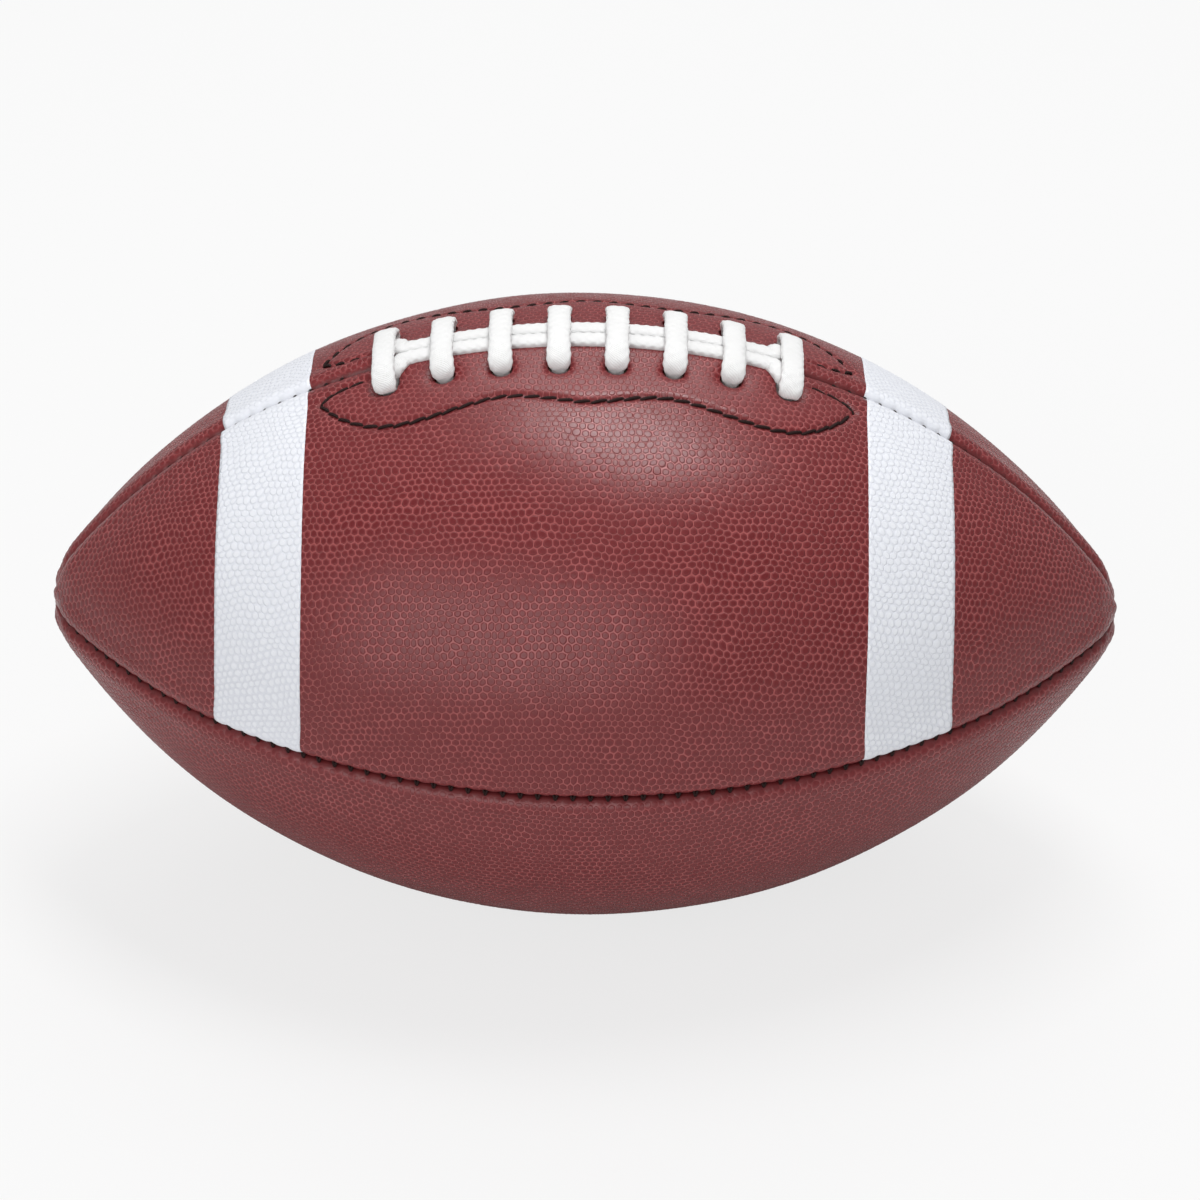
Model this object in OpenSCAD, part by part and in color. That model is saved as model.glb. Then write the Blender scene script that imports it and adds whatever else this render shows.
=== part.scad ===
// An american football, built like the real one: four leather panels with turned-in edges, their
// linings, the lacing with its reinforcements and tongue, the threads, the bladder and the valve.
// The long axis lies along X, the lacing is on top, and the origin is on the floor under the middle.

/* [Ball] */
// Length from nose to nose
ball_length = 286; // [278:1:291]
// Diameter across the middle
ball_width = 168; // [167:1:172]
// Radius of the round cap of each nose
nose_r = 25.6; // [23:0.1:28]
// Angle round the long axis that each panel beside the lacing covers
upper_angle = 93.5; // [88:0.5:97]

/* [Leather] */
// Thickness of the leather
leather_t = 2.3; // [2:0.1:2.6]
// Thickness of the edges, which are thinned where they turn in
edge_t = 1.4; // [1:0.1:1.6]
// How deep the turned-in edges reach below the surface
edge_depth = 6.5; // [5.5:0.1:7.5]
// How deep they reach along the lacing slit
slit_edge_depth = 4.2; // [3.8:0.1:4.6]
// Length of the lacing slit
slit_length = 134; // [130:1:138]
// Radius of the leather where it rolls over into a seam
seam_roll = 3; // [2.6:0.1:3.3]
// Gap between the two edges in a seam
seam_gap = 0.2; // [0.1:0.05:0.4]

/* [Stripes] */
// Distance from the nose to a stripe, measured over the surface
stripe_from_nose = 73.6; // [70:0.2:80]
// Width of a stripe
stripe_w = 26.6; // [22:0.1:28]
// Thickness of the paint
paint_t = 0.12; // [0.08:0.01:0.2]

/* [Linings and facings] */
// Thickness of the fabric lining behind each panel
lining_t = 0.8; // [0.5:0.1:1]
// Thickness of the reinforcement behind the lace holes
facing_t = 1.2; // [0.8:0.1:1.5]
// Length of the sewn outline of each reinforcement
facing_length = 140.5; // [136:0.5:146]
// Width of the sewn outline, measured from the lacing seam
facing_w = 28.5; // [26:0.1:31]
// How far the reinforcement reaches past its stitches
facing_margin = 3; // [2:0.5:4]

/* [Lace] */
// Number of crossbars
crossbars = 8; // [8:2:8]
// Distance between crossbars
bar_pitch = 15; // [14.6:0.1:15.6]
// Distance from the seam to the lace holes
hole_row = 12.3; // [12.1:0.1:13]
// Diameter of a lace hole
hole_d = 4.8; // [4.6:0.1:5.2]
// Width of the flat lace in a crossbar
lace_w = 5.8; // [5:0.1:6]
// Thickness of the lace
lace_t = 2.2; // [2:0.1:2.3]
// Width of each of the two strands that run under the crossbars
strand_w = 4.3; // [3.8:0.1:4.4]
// Width of the lace where it is squeezed through a hole
squeezed_w = 3.6; // [3.2:0.1:3.8]
// Clear space between two strands that cross
lace_gap = 0.6; // [0.55:0.05:0.7]

/* [Tongue] */
// Thickness of the tongue under the lacing
tongue_t = 1.2; // [0.8:0.1:1.5]
// Length of the tongue
tongue_length = 130; // [120:1:132]
// Width of the tongue
tongue_w = 36; // [30:1:40]

/* [Threads] */
// Diameter of the thread
thread_d = 0.8; // [0.6:0.05:0.9]
// Distance between stitches in the long seams
seam_stitch = 4.6; // [4:0.1:6]
// Distance between stitches round the reinforcements
facing_stitch = 4.4; // [4.2:0.1:5]
// Length of the thread that shows in each stitch round the reinforcements
shown_stitch = 3.4; // [2.8:0.1:3.6]

/* [Bladder and valve] */
// Thickness of the bladder wall
bladder_t = 0.9; // [0.6:0.1:1.2]
// Diameter of the valve's neck
neck_d = 11; // [10:0.5:12]
// Diameter of the flange that bonds the valve to the bladder
flange_d = 30; // [26:1:34]
// Thickness of that flange
flange_t = 1.2; // [1:0.1:1.6]
// Diameter of the valve core
core_d = 7; // [6:0.1:7.5]
// Diameter of the duct for the inflating needle
needle_d = 2.2; // [2:0.1:2.6]
// How far the valve reaches into the ball
valve_depth = 16; // [14:0.5:20]

/* [Hidden] */
$fn = 48;

// Clearances
leather_clear = 0.4;
layer_clear = 0.1;
paint_clear = 0.02;
thread_clear = 0.08;
fit_clear = 0.2;
pocket_clear = 0.35;
over = 1;

// The outline from nose to nose is an arc that meets a round cap at each nose without a corner.
// Places on the ball are given by the slope of the surface, from -90 to 90, and by an angle from the top.
ball_r = ball_width / 2;
cap_x = ball_length / 2 - nose_r;
arc_r = (cap_x * cap_x + ball_r * ball_r - nose_r * nose_r) / (2 * (ball_r - nose_r));
arc_sink = arc_r - ball_r;
cap_slope = atan2(cap_x, arc_sink);
tip_slope = 86.5;
cap_side = (90 - cap_slope) * nose_r * PI / 180;
quarter = cap_slope * arc_r * PI / 180 + cap_side;

function slope_at(run) = run / arc_r * 180 / PI;
function slope_of(x) = asin(x / arc_r);
function angle_of(side) = side / ball_r * 180 / PI;
function along(slope, h) =
    abs(slope) > cap_slope ? sign(slope) * cap_x + (nose_r + h) * sin(slope) : (arc_r + h) * sin(slope);
function away(slope, h) =
    abs(slope) > cap_slope ? (nose_r + h) * cos(slope) : (arc_r + h) * cos(slope) - arc_sink;
function place(slope, angle, h) =
    [along(slope, h), away(slope, h) * sin(angle), away(slope, h) * cos(angle)];
function beside(slope, seam, side, h) = place(slope, seam + asin(side / away(slope, h)), h);
function on_ball(x, side, h) = place(slope_of(x), angle_of(side), h);

// Slopes at which the leather is modelled, from one nose tip to the other
stripe_outer = slope_at(quarter - stripe_from_nose);
stripe_inner = slope_at(quarter - stripe_from_nose - stripe_w);
slit_slope = slope_of(slit_length / 2);
function spread(from, to, count) = [for (i = [0 : count]) from + (to - from) * i / count];
function sorted(v) = len(v) < 2 ? v : concat(
    sorted([for (x = v) if (x < v[0]) x]), [v[0]], sorted([for (x = v) if (x > v[0]) x]));
half_slopes = sorted(concat(
    spread(0, slit_slope, 4), [stripe_inner], spread(stripe_inner, stripe_outer, 2),
    spread(stripe_outer, cap_slope, 4), spread(cap_slope, tip_slope, 5)));
slopes = concat([for (i = [len(half_slopes) - 1 : -1 : 1]) -half_slopes[i]], half_slopes);

// Seams, as angles from the top. Each panel lies between two of them.
top_seam = 0;
front_seam = -upper_angle;
back_seam = upper_angle;
bottom_seam = 180;

// Heights of the layers under the surface of the leather, all measured inwards
lining_top = leather_t + leather_clear;
facing_top = lining_top + lining_t + layer_clear;
facing_bottom = facing_top + facing_t;
inner_lace = facing_bottom + lace_gap / 2 + lace_t / 2;
deep_lace = inner_lace + lace_t + 2 * lace_gap;
tongue_top = deep_lace + lace_t / 2 + fit_clear;
bladder_top = lining_top + lining_t + lace_gap;
crease_depth = edge_depth + fit_clear;
pocket_depth = tongue_top + tongue_t + pocket_clear;

// Leather panels

across = 9;
roll_share = 0.22;
edge_share = 0.14;
inner_roll_share = 0.36;
half_gap = seam_gap / 2;

function roll_at(slope) = min(seam_roll, away(slope, 0) * roll_share);
function edge_at(slope) = min(edge_t, away(slope, 0) * edge_share);
function depth_at(slope, seam) =
    seam == top_seam && abs(slope) <= slit_slope ? slit_edge_depth : edge_depth;

function rolled_edge(slope, seam, dir, lift, turns) = [
    for (turn = turns)
        beside(slope, seam,
            dir * (half_gap + roll_at(slope) - (roll_at(slope) + lift) * cos(turn)),
            (roll_at(slope) + lift) * sin(turn) - roll_at(slope))];
function inner_edge(slope, seam, dir) =
    let (thin = half_gap + edge_at(slope), inner_roll = roll_at(slope) * inner_roll_share) [
        beside(slope, seam, dir * thin, -depth_at(slope, seam)),
        beside(slope, seam, dir * thin, -leather_t - inner_roll),
        beside(slope, seam, dir * (half_gap + max(roll_at(slope), edge_at(slope) + inner_roll)), -leather_t)];
function reversed(v) = [for (i = [len(v) - 1 : -1 : 0]) v[i]];

// Points across a panel between two seams, at a height, that start and end beside the rolled edges
function across_panel(slope, from, to, h, count) =
    let (rim = asin((half_gap + roll_at(slope)) / away(slope, h)), span = to - from - 2 * rim)
    [for (i = [1 : count - 1]) place(slope, from + rim + span * i / count, h)];
function outer_line(slope, from, to, lift, turns) = concat(
    rolled_edge(slope, from, 1, lift, turns),
    across_panel(slope, from, to, lift, across),
    reversed(rolled_edge(slope, to, -1, lift, turns)));
function panel_ring(slope, from, to) = concat(
    [beside(slope, from, half_gap, -depth_at(slope, from))],
    outer_line(slope, from, to, 0, [0, 45, 90]),
    [beside(slope, to, -half_gap, -depth_at(slope, to))],
    reversed(concat(
        inner_edge(slope, from, 1),
        across_panel(slope, from, to, -leather_t, across + 2),
        reversed(inner_edge(slope, to, -1)))));
function film_ring(slope, from, to) = concat(
    outer_line(slope, from, to, paint_clear + paint_t, [45, 90]),
    reversed(outer_line(slope, from, to, paint_clear, [45, 90])));

// A skin through rings whose two halves face each other, closed at both ends
module skin(rings) {
    n = len(rings[0]);
    last = (len(rings) - 1) * n;
    sides = [for (i = [0 : len(rings) - 2], j = [0 : n - 1])
        let (a = i * n + j, b = i * n + (j + 1) % n) each [[a, b, b + n], [a, b + n, a + n]]];
    caps = [for (j = [0 : n / 2 - 2])
        let (a = j, b = j + 1, c = n - 2 - j, d = n - 1 - j)
        each [[a, d, c], [a, c, b], [last + a, last + c, last + d], [last + a, last + b, last + c]]];
    polyhedron([for (ring = rings) each ring], concat(sides, caps));
}

module lifted() {
    translate([0, 0, ball_r]) children();
}

module leather(from, to) {
    color([0.45, 0.17, 0.16]) skin([for (slope = slopes) panel_ring(slope, from, to)]);
}

module stripe(from, to, side) {
    color([0.9, 0.91, 0.93]) skin([
        for (slope = slopes)
            if (side * slope >= stripe_inner && side * slope <= stripe_outer) film_ring(slope, from, to)]);
}

// Places the children at a point of the surface, with Z along its normal
module at_surface(x, side) {
    rotate([-angle_of(side), 0, 0])
        translate([0, 0, -arc_sink])
            rotate([0, slope_of(x), 0])
                translate([0, 0, arc_r])
                    children();
}

// Lace holes: the holes at both ends are longer, because the lace passes twice

bar_x = [for (i = [0 : crossbars - 1]) (i - (crossbars - 1) / 2) * bar_pitch];
first_x = bar_x[0];
second_pass_x_share = 0.03;
second_pass_side_share = 0.7;
pass_x = bar_pitch * second_pass_x_share;
pass_side = hole_row * second_pass_side_share;
hole_depth = facing_bottom + over;
slot_w = hole_d - 2 * layer_clear;

module hole() {
    translate([0, 0, -hole_depth]) cylinder(h = hole_depth + over, d = hole_d);
}

module end_hole(x, side) {
    run = [-sign(x) * pass_x, sign(side) * (pass_side - hole_row)];
    at_surface(x + run[0] / 2, side + run[1] / 2) {
        translate([-run[0] / 2, -run[1] / 2, 0]) hole();
        translate([run[0] / 2, run[1] / 2, 0]) hole();
        rotate([0, 0, atan2(run[1], run[0])])
            translate([-norm(run) / 2, -slot_w / 2, -hole_depth])
                cube([norm(run), slot_w, hole_depth + over]);
    }
}

module lace_holes(dir) {
    for (i = [1 : crossbars - 2]) at_surface(bar_x[i], dir * hole_row) hole();
    for (x = [first_x, -first_x]) end_hole(x, dir * hole_row);
}

// Valve place: the middle of the back lower panel

valve_angle = (back_seam + bottom_seam) / 2;
valve_top = leather_t / 4;

module at_valve() {
    rotate([-valve_angle, 0, 0]) translate([0, 0, ball_r]) children();
}

module neck_hole() {
    at_valve() translate([0, 0, -valve_depth]) cylinder(h = valve_depth + over, d = neck_d + 2 * fit_clear);
}

module panel_front_upper() {
    lifted() difference() {
        leather(front_seam, top_seam);
        lace_holes(-1);
    }
}

module panel_back_upper() {
    lifted() difference() {
        leather(top_seam, back_seam);
        lace_holes(1);
    }
}

module panel_front_lower() {
    lifted() leather(-bottom_seam, front_seam);
}

module panel_back_lower() {
    lifted() difference() {
        leather(back_seam, bottom_seam);
        neck_hole();
    }
}

// Layers that follow the ball at a depth under the surface

function layer_line(depth, list) = [for (slope = list) [away(slope, -depth), -along(slope, -depth)]];
lining_slopes = [for (slope = slopes) if (abs(slope) < tip_slope) slope];

module layer(depth, thick, list, from, to) {
    rotate([0, -90, 0]) rotate([0, 0, from]) rotate_extrude(angle = to - from)
        polygon(concat(layer_line(depth, list), reversed(layer_line(depth + thick, list))));
}

// Solid of the ball's shape at a depth under the surface
module core_at(depth) {
    line = layer_line(depth, slopes);
    end = [0, line[0][1] + nose_r * (1 - sin(tip_slope))];
    rotate([0, -90, 0]) rotate_extrude() polygon(concat([end], line, [[0, -end[1]]]));
}

// A slab in the plane of a seam, from the long axis outwards
module seam_slab(seam, half_w) {
    rotate([-seam, 0, 0]) translate([-ball_length / 2, -half_w, 0]) cube([ball_length, 2 * half_w, ball_r + over]);
}

lining_rim = half_gap + seam_roll + leather_clear;

module lining(from, to) {
    color([0.85, 0.82, 0.74]) difference() {
        layer(lining_top, lining_t, lining_slopes, from, to);
        seam_slab(from, lining_rim);
        seam_slab(to, lining_rim);
    }
}

module lining_front_upper() {
    lifted() difference() {
        lining(front_seam, top_seam);
        lace_holes(-1);
    }
}

module lining_back_upper() {
    lifted() difference() {
        lining(top_seam, back_seam);
        lace_holes(1);
    }
}

module lining_front_lower() {
    lifted() lining(-bottom_seam, front_seam);
}

module lining_back_lower() {
    lifted() difference() {
        lining(back_seam, bottom_seam);
        neck_hole();
    }
}

module stripe_front_left() {
    lifted() stripe(front_seam, top_seam, -1);
}

module stripe_front_right() {
    lifted() stripe(front_seam, top_seam, 1);
}

module stripe_back_left() {
    lifted() stripe(top_seam, back_seam, -1);
}

module stripe_back_right() {
    lifted() stripe(top_seam, back_seam, 1);
}

// Smooth line through points of any length, with more points between them
function between(p, i) = p[max(0, min(len(p) - 1, i))];
function smooth(p, steps) = concat(
    [for (i = [0 : len(p) - 2], k = [0 : steps - 1])
        let (t = k / steps, a = between(p, i - 1), b = p[i], c = p[i + 1], d = between(p, i + 2))
        (2 * b + (c - a) * t + (2 * a - 5 * b + 4 * c - d) * t * t + (3 * b - 3 * c + d - a) * t * t * t) / 2],
    [p[len(p) - 1]]);

// Sewn outline of a reinforcement: the outer edge from the middle to the tip, then the short way
// back towards the seam under the last crossbar. Shares are of half the length and of the width.
outline_shares = [
    [0, 0.895], [0.16, 0.835], [0.3, 0.797], [0.43, 0.855], [0.56, 0.945], [0.7, 1], [0.82, 0.935],
    [0.93, 0.71], [1, 0.42]];
return_shares = [[1, 0.42], [0.955, 0.315], [0.88, 0.26], [0.79, 0.23]];

function scaled(shares, flip) = [for (p = shares) [flip * p[0] * facing_length / 2, p[1] * facing_w]];
outer_edge = smooth(concat(reversed(scaled(outline_shares, -1)), [
    for (i = [1 : len(outline_shares) - 1]) scaled(outline_shares, 1)[i]]), 4);
sewn_lines = [outer_edge, smooth(scaled(return_shares, 1), 4), smooth(scaled(return_shares, -1), 4)];

module facing(dir) {
    outline = concat(
        [for (p = outer_edge) [p[0] * (1 + 2 * facing_margin / facing_length), p[1] + facing_margin]],
        [[facing_length / 2, lining_rim], [-facing_length / 2, lining_rim]]);
    color([0.75, 0.62, 0.48]) lifted() intersection() {
        difference() {
            layer(facing_top, facing_t, lining_slopes, dir > 0 ? top_seam : front_seam, dir > 0 ? back_seam : top_seam);
            lace_holes(dir);
        }
        linear_extrude(ball_r) polygon([for (p = outline)
            let (q = on_ball(p[0], dir * p[1], -facing_top)) [q[0], q[1]]]);
    }
}

module facing_front() {
    facing(-1);
}

module facing_back() {
    facing(1);
}

// Threads

module rod(p, q, d) {
    v = q - p;
    translate(p) rotate([0, acos(v[2] / norm(v)), atan2(v[1], v[0])]) cylinder(h = norm(v), d = d);
}

function run_length(p, last) = last == 0 ? 0 : norm(p[last] - p[last - 1]) + run_length(p, last - 1);
function lengths(p) = [for (i = [0 : len(p) - 1]) run_length(p, i)];
function at_length(p, marks, d) =
    let (i = max([for (k = [0 : len(p) - 2]) if (marks[k] <= d) k]))
    p[i] + (p[i + 1] - p[i]) * (d - marks[i]) / (marks[i + 1] - marks[i]);

module stitch_line(line, dir) {
    marks = lengths(line);
    total = marks[len(marks) - 1];
    count = floor(total / facing_stitch);
    lift = thread_d / 2 + thread_clear;
    for (i = [0 : count - 1]) {
        p = at_length(line, marks, i * facing_stitch);
        q = at_length(line, marks, i * facing_stitch + shown_stitch);
        rod(on_ball(p[0], dir * p[1], lift), on_ball(q[0], dir * q[1], lift), thread_d);
    }
}

module facing_thread(dir) {
    color([0.1, 0.09, 0.09]) lifted() for (line = sewn_lines) stitch_line(line, dir);
}

module facing_thread_front() {
    facing_thread(-1);
}

module facing_thread_back() {
    facing_thread(1);
}

// Each stitch of a long seam bridges the valley between the two rolled edges
stitch_sink = thread_d;
seam_end = quarter - cap_side;

module seam_thread(seam, start) {
    color([0.1, 0.09, 0.09]) lifted() for (dir = [-1, 1], run = [start : seam_stitch : seam_end]) {
        slope = dir * slope_at(run);
        roll = roll_at(slope);
        low = roll - stitch_sink - thread_d / 2;
        reach = half_gap + roll - sqrt(roll * roll - low * low) - thread_clear;
        rod(beside(slope, seam, -reach, -stitch_sink), beside(slope, seam, reach, -stitch_sink), thread_d);
    }
}

module seam_thread_top() {
    seam_thread(top_seam, slit_length / 2);
}

module seam_thread_front() {
    seam_thread(front_seam, seam_stitch / 2);
}

module seam_thread_back() {
    seam_thread(back_seam, seam_stitch / 2);
}

module seam_thread_bottom() {
    seam_thread(bottom_seam, seam_stitch / 2);
}

// Lace: one flat tube along its whole way. Each point of the way holds its place along the ball,
// its distance from the seam, its height, the turn of its flat side and its width.

quarter_turn = 90;
full_turn = 360;
strand_side = (strand_w + lace_gap) / 2 + layer_clear;
strand_h = lace_t / 2 + fit_clear;
bar_h = strand_h + lace_t + lace_gap;
hole_bottom = -hole_depth + over / 2;
// From a hole to the middle of a bar: shares of the distance to the seam, of the height and of the width
bar_shares = [[1, 0, 0.74], [1.01, 0.27, 0.95], [0.96, 0.62, 1], [0.78, 0.93, 1], [0.45, 1.01, 1]];

function half_bar(x, side) = [
    for (s = bar_shares) [x, side * s[0] * hole_row, s[1] * bar_h, full_turn, s[2] * lace_w]];
function bar(x) = concat(
    [[x, -hole_row, hole_bottom, full_turn, squeezed_w]],
    half_bar(x, -1),
    [[x, 0, bar_h, full_turn, lace_w]],
    reversed(half_bar(x, 1)),
    [[x, hole_row, hole_bottom, full_turn, squeezed_w]]);

// Inside, the lace goes from the far hole of one bar to the near hole of the next
turn_share = 0.1;
function drop(x, side) = [[x, side, lace_t / 4 - deep_lace, full_turn, squeezed_w]];
function under(i, deep) =
    let (side = hole_row * (1 - 2 * turn_share), turn = bar_pitch * turn_share) [
        [bar_x[i] + turn, side, -deep, full_turn, strand_w],
        [bar_x[i] + bar_pitch / 2, 0, -deep, full_turn, strand_w],
        [bar_x[i + 1] - turn, -side, -deep, full_turn, strand_w]];
// The first and the last of these run deeper, below the turns of the long strands
function back_under(i) =
    i == 0 || i == crossbars - 2
        ? concat(drop(bar_x[i], hole_row), under(i, deep_lace), drop(bar_x[i + 1], -hole_row))
        : under(i, inner_lace);

// A long strand beside the seam: dir 1 runs to the right on the near side, dir -1 back on the far
// side. Out of its hole it runs under the first bar to the seam and bends there in its own plane.
// Shares are of the distance between bars, of the side of its hole, of its height, of a quarter turn
// and of its width.
rise_shares = [
    [0, 1, -1, 1, 0.84], [0, 1, -0.2, 1, 0.84], [0.01, 0.88, 0.9, 1, 0.95], [0.06, 0.65, 1, 0.8, 1],
    [0.18, 0.42, 1, 0.5, 1], [0.42, 0.32, 1, 0.1, 1]];
function strand(dir) =
    let (start = dir * (first_x + pass_x), turn = dir > 0 ? quarter_turn : full_turn - quarter_turn,
        rise = [for (s = rise_shares) [
            start + dir * bar_pitch * s[0], -dir * pass_side * s[1], s[2] == -1 ? hole_bottom : s[2] * strand_h,
            turn + quarter_turn * s[3], strand_w * s[4]]])
    concat(rise,
        [for (t = [-2 : 2]) [dir * t * bar_pitch, -dir * strand_side, strand_h, turn, strand_w]],
        reversed([for (p = rise) [-p[0], p[1], p[2], 2 * turn - p[3], p[4]]]));

// Beyond the end holes the lace turns back inside the ball. Shares are of the distance between
// bars, of the side of the end holes and of a half turn.
right_turn_shares = [[0.08, 0.7, 0.1], [0.38, 0.45, 0.25], [0.5, 0, 0.5], [0.38, -0.45, 0.75], [0.08, -0.7, 0.9]];
left_turn_shares = [[0.08, 0.7, 0.1], [0.38, 0.45, 0.25], [0.55, 0, 0.5], [0.55, -0.9, 0.55], [0.34, -1.5, 0.52]];
function turn_back(shares, dir, turn) = [
    for (s = shares)
        [dir * (bar_pitch * s[0] - first_x), -dir * s[1] * pass_side, -inner_lace, turn + full_turn / 2 * s[2], strand_w]];

tail_share = 0.45;
tail_in_share = 0.2;
tail_turn = 72;
tail = bar_pitch * tail_share;
start_tail_shares = [0.2, 0.6];
start_tail = [
    for (s = start_tail_shares) [first_x + pass_x, -s * pass_side, -inner_lace, 2 * quarter_turn, strand_w]];
end_tail = concat(drop(-first_x, hole_row), [
    for (t = [0.4, 1])
        [-first_x + tail * t, hole_row * (1 - tail_in_share * t), -deep_lace, full_turn + tail_turn * t, strand_w]]);

lace_way = concat(
    start_tail, strand(1), turn_back(right_turn_shares, 1, quarter_turn), strand(-1),
    turn_back(left_turn_shares, -1, full_turn - quarter_turn),
    [for (i = [0 : crossbars - 1]) each concat(bar(bar_x[i]), i < crossbars - 1 ? back_under(i) : [])],
    end_tail);
lace_points = smooth(lace_way, 2);
lace_last = len(lace_points) - 1;
lace_middles = [for (p = lace_points) on_ball(p[0], p[1], p[2])];

function unit(v) = v / norm(v);
function lace_wide(i) =
    let (p = lace_points[i],
        way = unit(lace_middles[min(lace_last, i + 1)] - lace_middles[max(0, i - 1)]),
        flat = on_ball(p[0] + cos(p[3]), p[1] + sin(p[3]), p[2]) - lace_middles[i])
    [unit(flat - (flat * way) * way), way];
function lace_ring(i) =
    let (axes = lace_wide(i), wide = axes[0], thick = cross(axes[1], wide))
    [for (k = [0 : 5])
        lace_middles[i] + wide * cos(60 * k) * lace_points[i][4] / 2 + thick * sin(60 * k) / sin(60) * lace_t / 2];
lace_rings = [for (i = [0 : lace_last]) lace_ring(i)];

// Least gap of the lace to itself: between short lengths of it that lie near each other but are
// far apart along it, the clear distance in the best of a few directions
function clear_along(p, q, d) =
    let (a = [for (v = p) v * d], b = [for (v = q) v * d]) max(min(a) - max(b), min(b) - max(a));
function clear_between(i, j) =
    let (p = concat(lace_rings[i], lace_rings[i + 1]), q = concat(lace_rings[j], lace_rings[j + 1]),
        a = lace_wide(i), b = lace_wide(j))
    max([for (d = [a[0], cross(a[1], a[0]), b[0], cross(b[1], b[0]), unit(lace_middles[j] - lace_middles[i])])
        clear_along(p, q, d)]);
function near_gaps() = [
    for (i = [0 : lace_last - 1], j = [i + 5 : 1 : lace_last - 1])
        if (norm(lace_middles[i] - lace_middles[j]) < 2 * lace_w) [clear_between(i, j), i, j]];

// A tube through rings, closed by fans at both ends
module tube(rings) {
    n = len(rings[0]);
    last = (len(rings) - 1) * n;
    sides = [for (i = [0 : len(rings) - 2], j = [0 : n - 1])
        let (a = i * n + j, b = i * n + (j + 1) % n) each [[a, b, b + n], [a, b + n, a + n]]];
    caps = [for (j = [1 : n - 2]) each [[0, j + 1, j], [last, last + j, last + j + 1]]];
    polyhedron([for (ring = rings) each ring], concat(sides, caps));
}

module lace() {
    gaps = near_gaps();
    echo(least_gap_of_the_lace_to_itself = min([for (g = gaps) g[0]]));
    color([0.93, 0.93, 0.92]) lifted() tube(lace_rings);
}

module tongue() {
    slope = slope_of(tongue_length / 2);
    color([0.78, 0.66, 0.52]) lifted()
        layer(tongue_top, tongue_t, spread(-slope, slope, 12), -angle_of(tongue_w / 2), angle_of(tongue_w / 2));
}

// Bladder: pressed against the linings, with a crease over each turned-in edge, a shallow recess
// for the reinforcements and a pocket for the tongue and the lace. Grow is how far a face of the
// wall lies inside its outer face.

module recess(length, width, grow) {
    translate([-length / 2 - grow, -width / 2 - grow, 0]) cube([length + 2 * grow, width + 2 * grow, ball_r]);
}

module pocket(grow) {
    recess(tongue_length + pocket_clear, tongue_w + pocket_clear, grow);
}

module facing_recess(grow) {
    recess(facing_length + 2 * facing_margin + fit_clear, 2 * (facing_w + facing_margin), grow);
}

module creases(grow) {
    for (seam = [top_seam, front_seam, back_seam, bottom_seam])
        seam_slab(seam, half_gap + edge_t + fit_clear + grow);
}

module bladder_core(grow) {
    core_at(pocket_depth + grow);
    difference() {
        core_at(crease_depth + grow);
        pocket(grow);
    }
    difference() {
        core_at(facing_bottom + fit_clear + grow);
        pocket(grow);
        creases(grow);
    }
    difference() {
        core_at(bladder_top + grow);
        facing_recess(grow);
        creases(grow);
    }
}

module bladder() {
    color([0.16, 0.16, 0.17]) lifted() difference() {
        bladder_core(0);
        bladder_core(bladder_t);
        neck_hole();
    }
}

module valve_housing() {
    color([0.12, 0.12, 0.12]) lifted() difference() {
        union() {
            intersection() {
                core_at(bladder_top + bladder_t + layer_clear);
                at_valve() translate([0, 0, -valve_depth]) cylinder(h = valve_depth, d = flange_d);
            }
            at_valve() translate([0, 0, -valve_depth]) cylinder(h = valve_depth - valve_top, d = neck_d);
        }
        difference() {
            core_at(bladder_top + bladder_t + layer_clear + flange_t);
            at_valve() translate([0, 0, -valve_depth - over]) cylinder(h = valve_depth + over, d = neck_d);
        }
        at_valve() translate([0, 0, -valve_depth - over]) cylinder(h = valve_depth + 2 * over, d = core_d);
    }
}

module valve_core() {
    length = valve_depth - 2 * valve_top;
    color([0.25, 0.25, 0.25]) lifted() at_valve() translate([0, 0, -valve_depth]) difference() {
        cylinder(h = length, d = core_d - layer_clear);
        translate([0, 0, -over]) cylinder(h = length + 2 * over, d = needle_d);
    }
}

panel_front_upper();
panel_back_upper();
panel_front_lower();
panel_back_lower();
lining_front_upper();
lining_back_upper();
lining_front_lower();
lining_back_lower();
stripe_front_left();
stripe_front_right();
stripe_back_left();
stripe_back_right();
seam_thread_top();
seam_thread_front();
seam_thread_back();
seam_thread_bottom();
facing_front();
facing_back();
facing_thread_front();
facing_thread_back();
lace();
tongue();
bladder();
valve_housing();
valve_core();
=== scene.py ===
# %% [markdown]
# # An american football
#
# The ball lies on its belly with the lacing up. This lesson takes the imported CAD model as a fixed
# frame and makes every part but the valve as the real thing is made: four panels of pebbled leather,
# white painted half rings, sewing thread, a flat plaited lace, and the layers inside.
# Every length is in metres and in the frame of the CAD model, so a piece goes where its node is.

import math

import bpy
import numpy as np
from mathutils import Matrix, Vector


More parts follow.
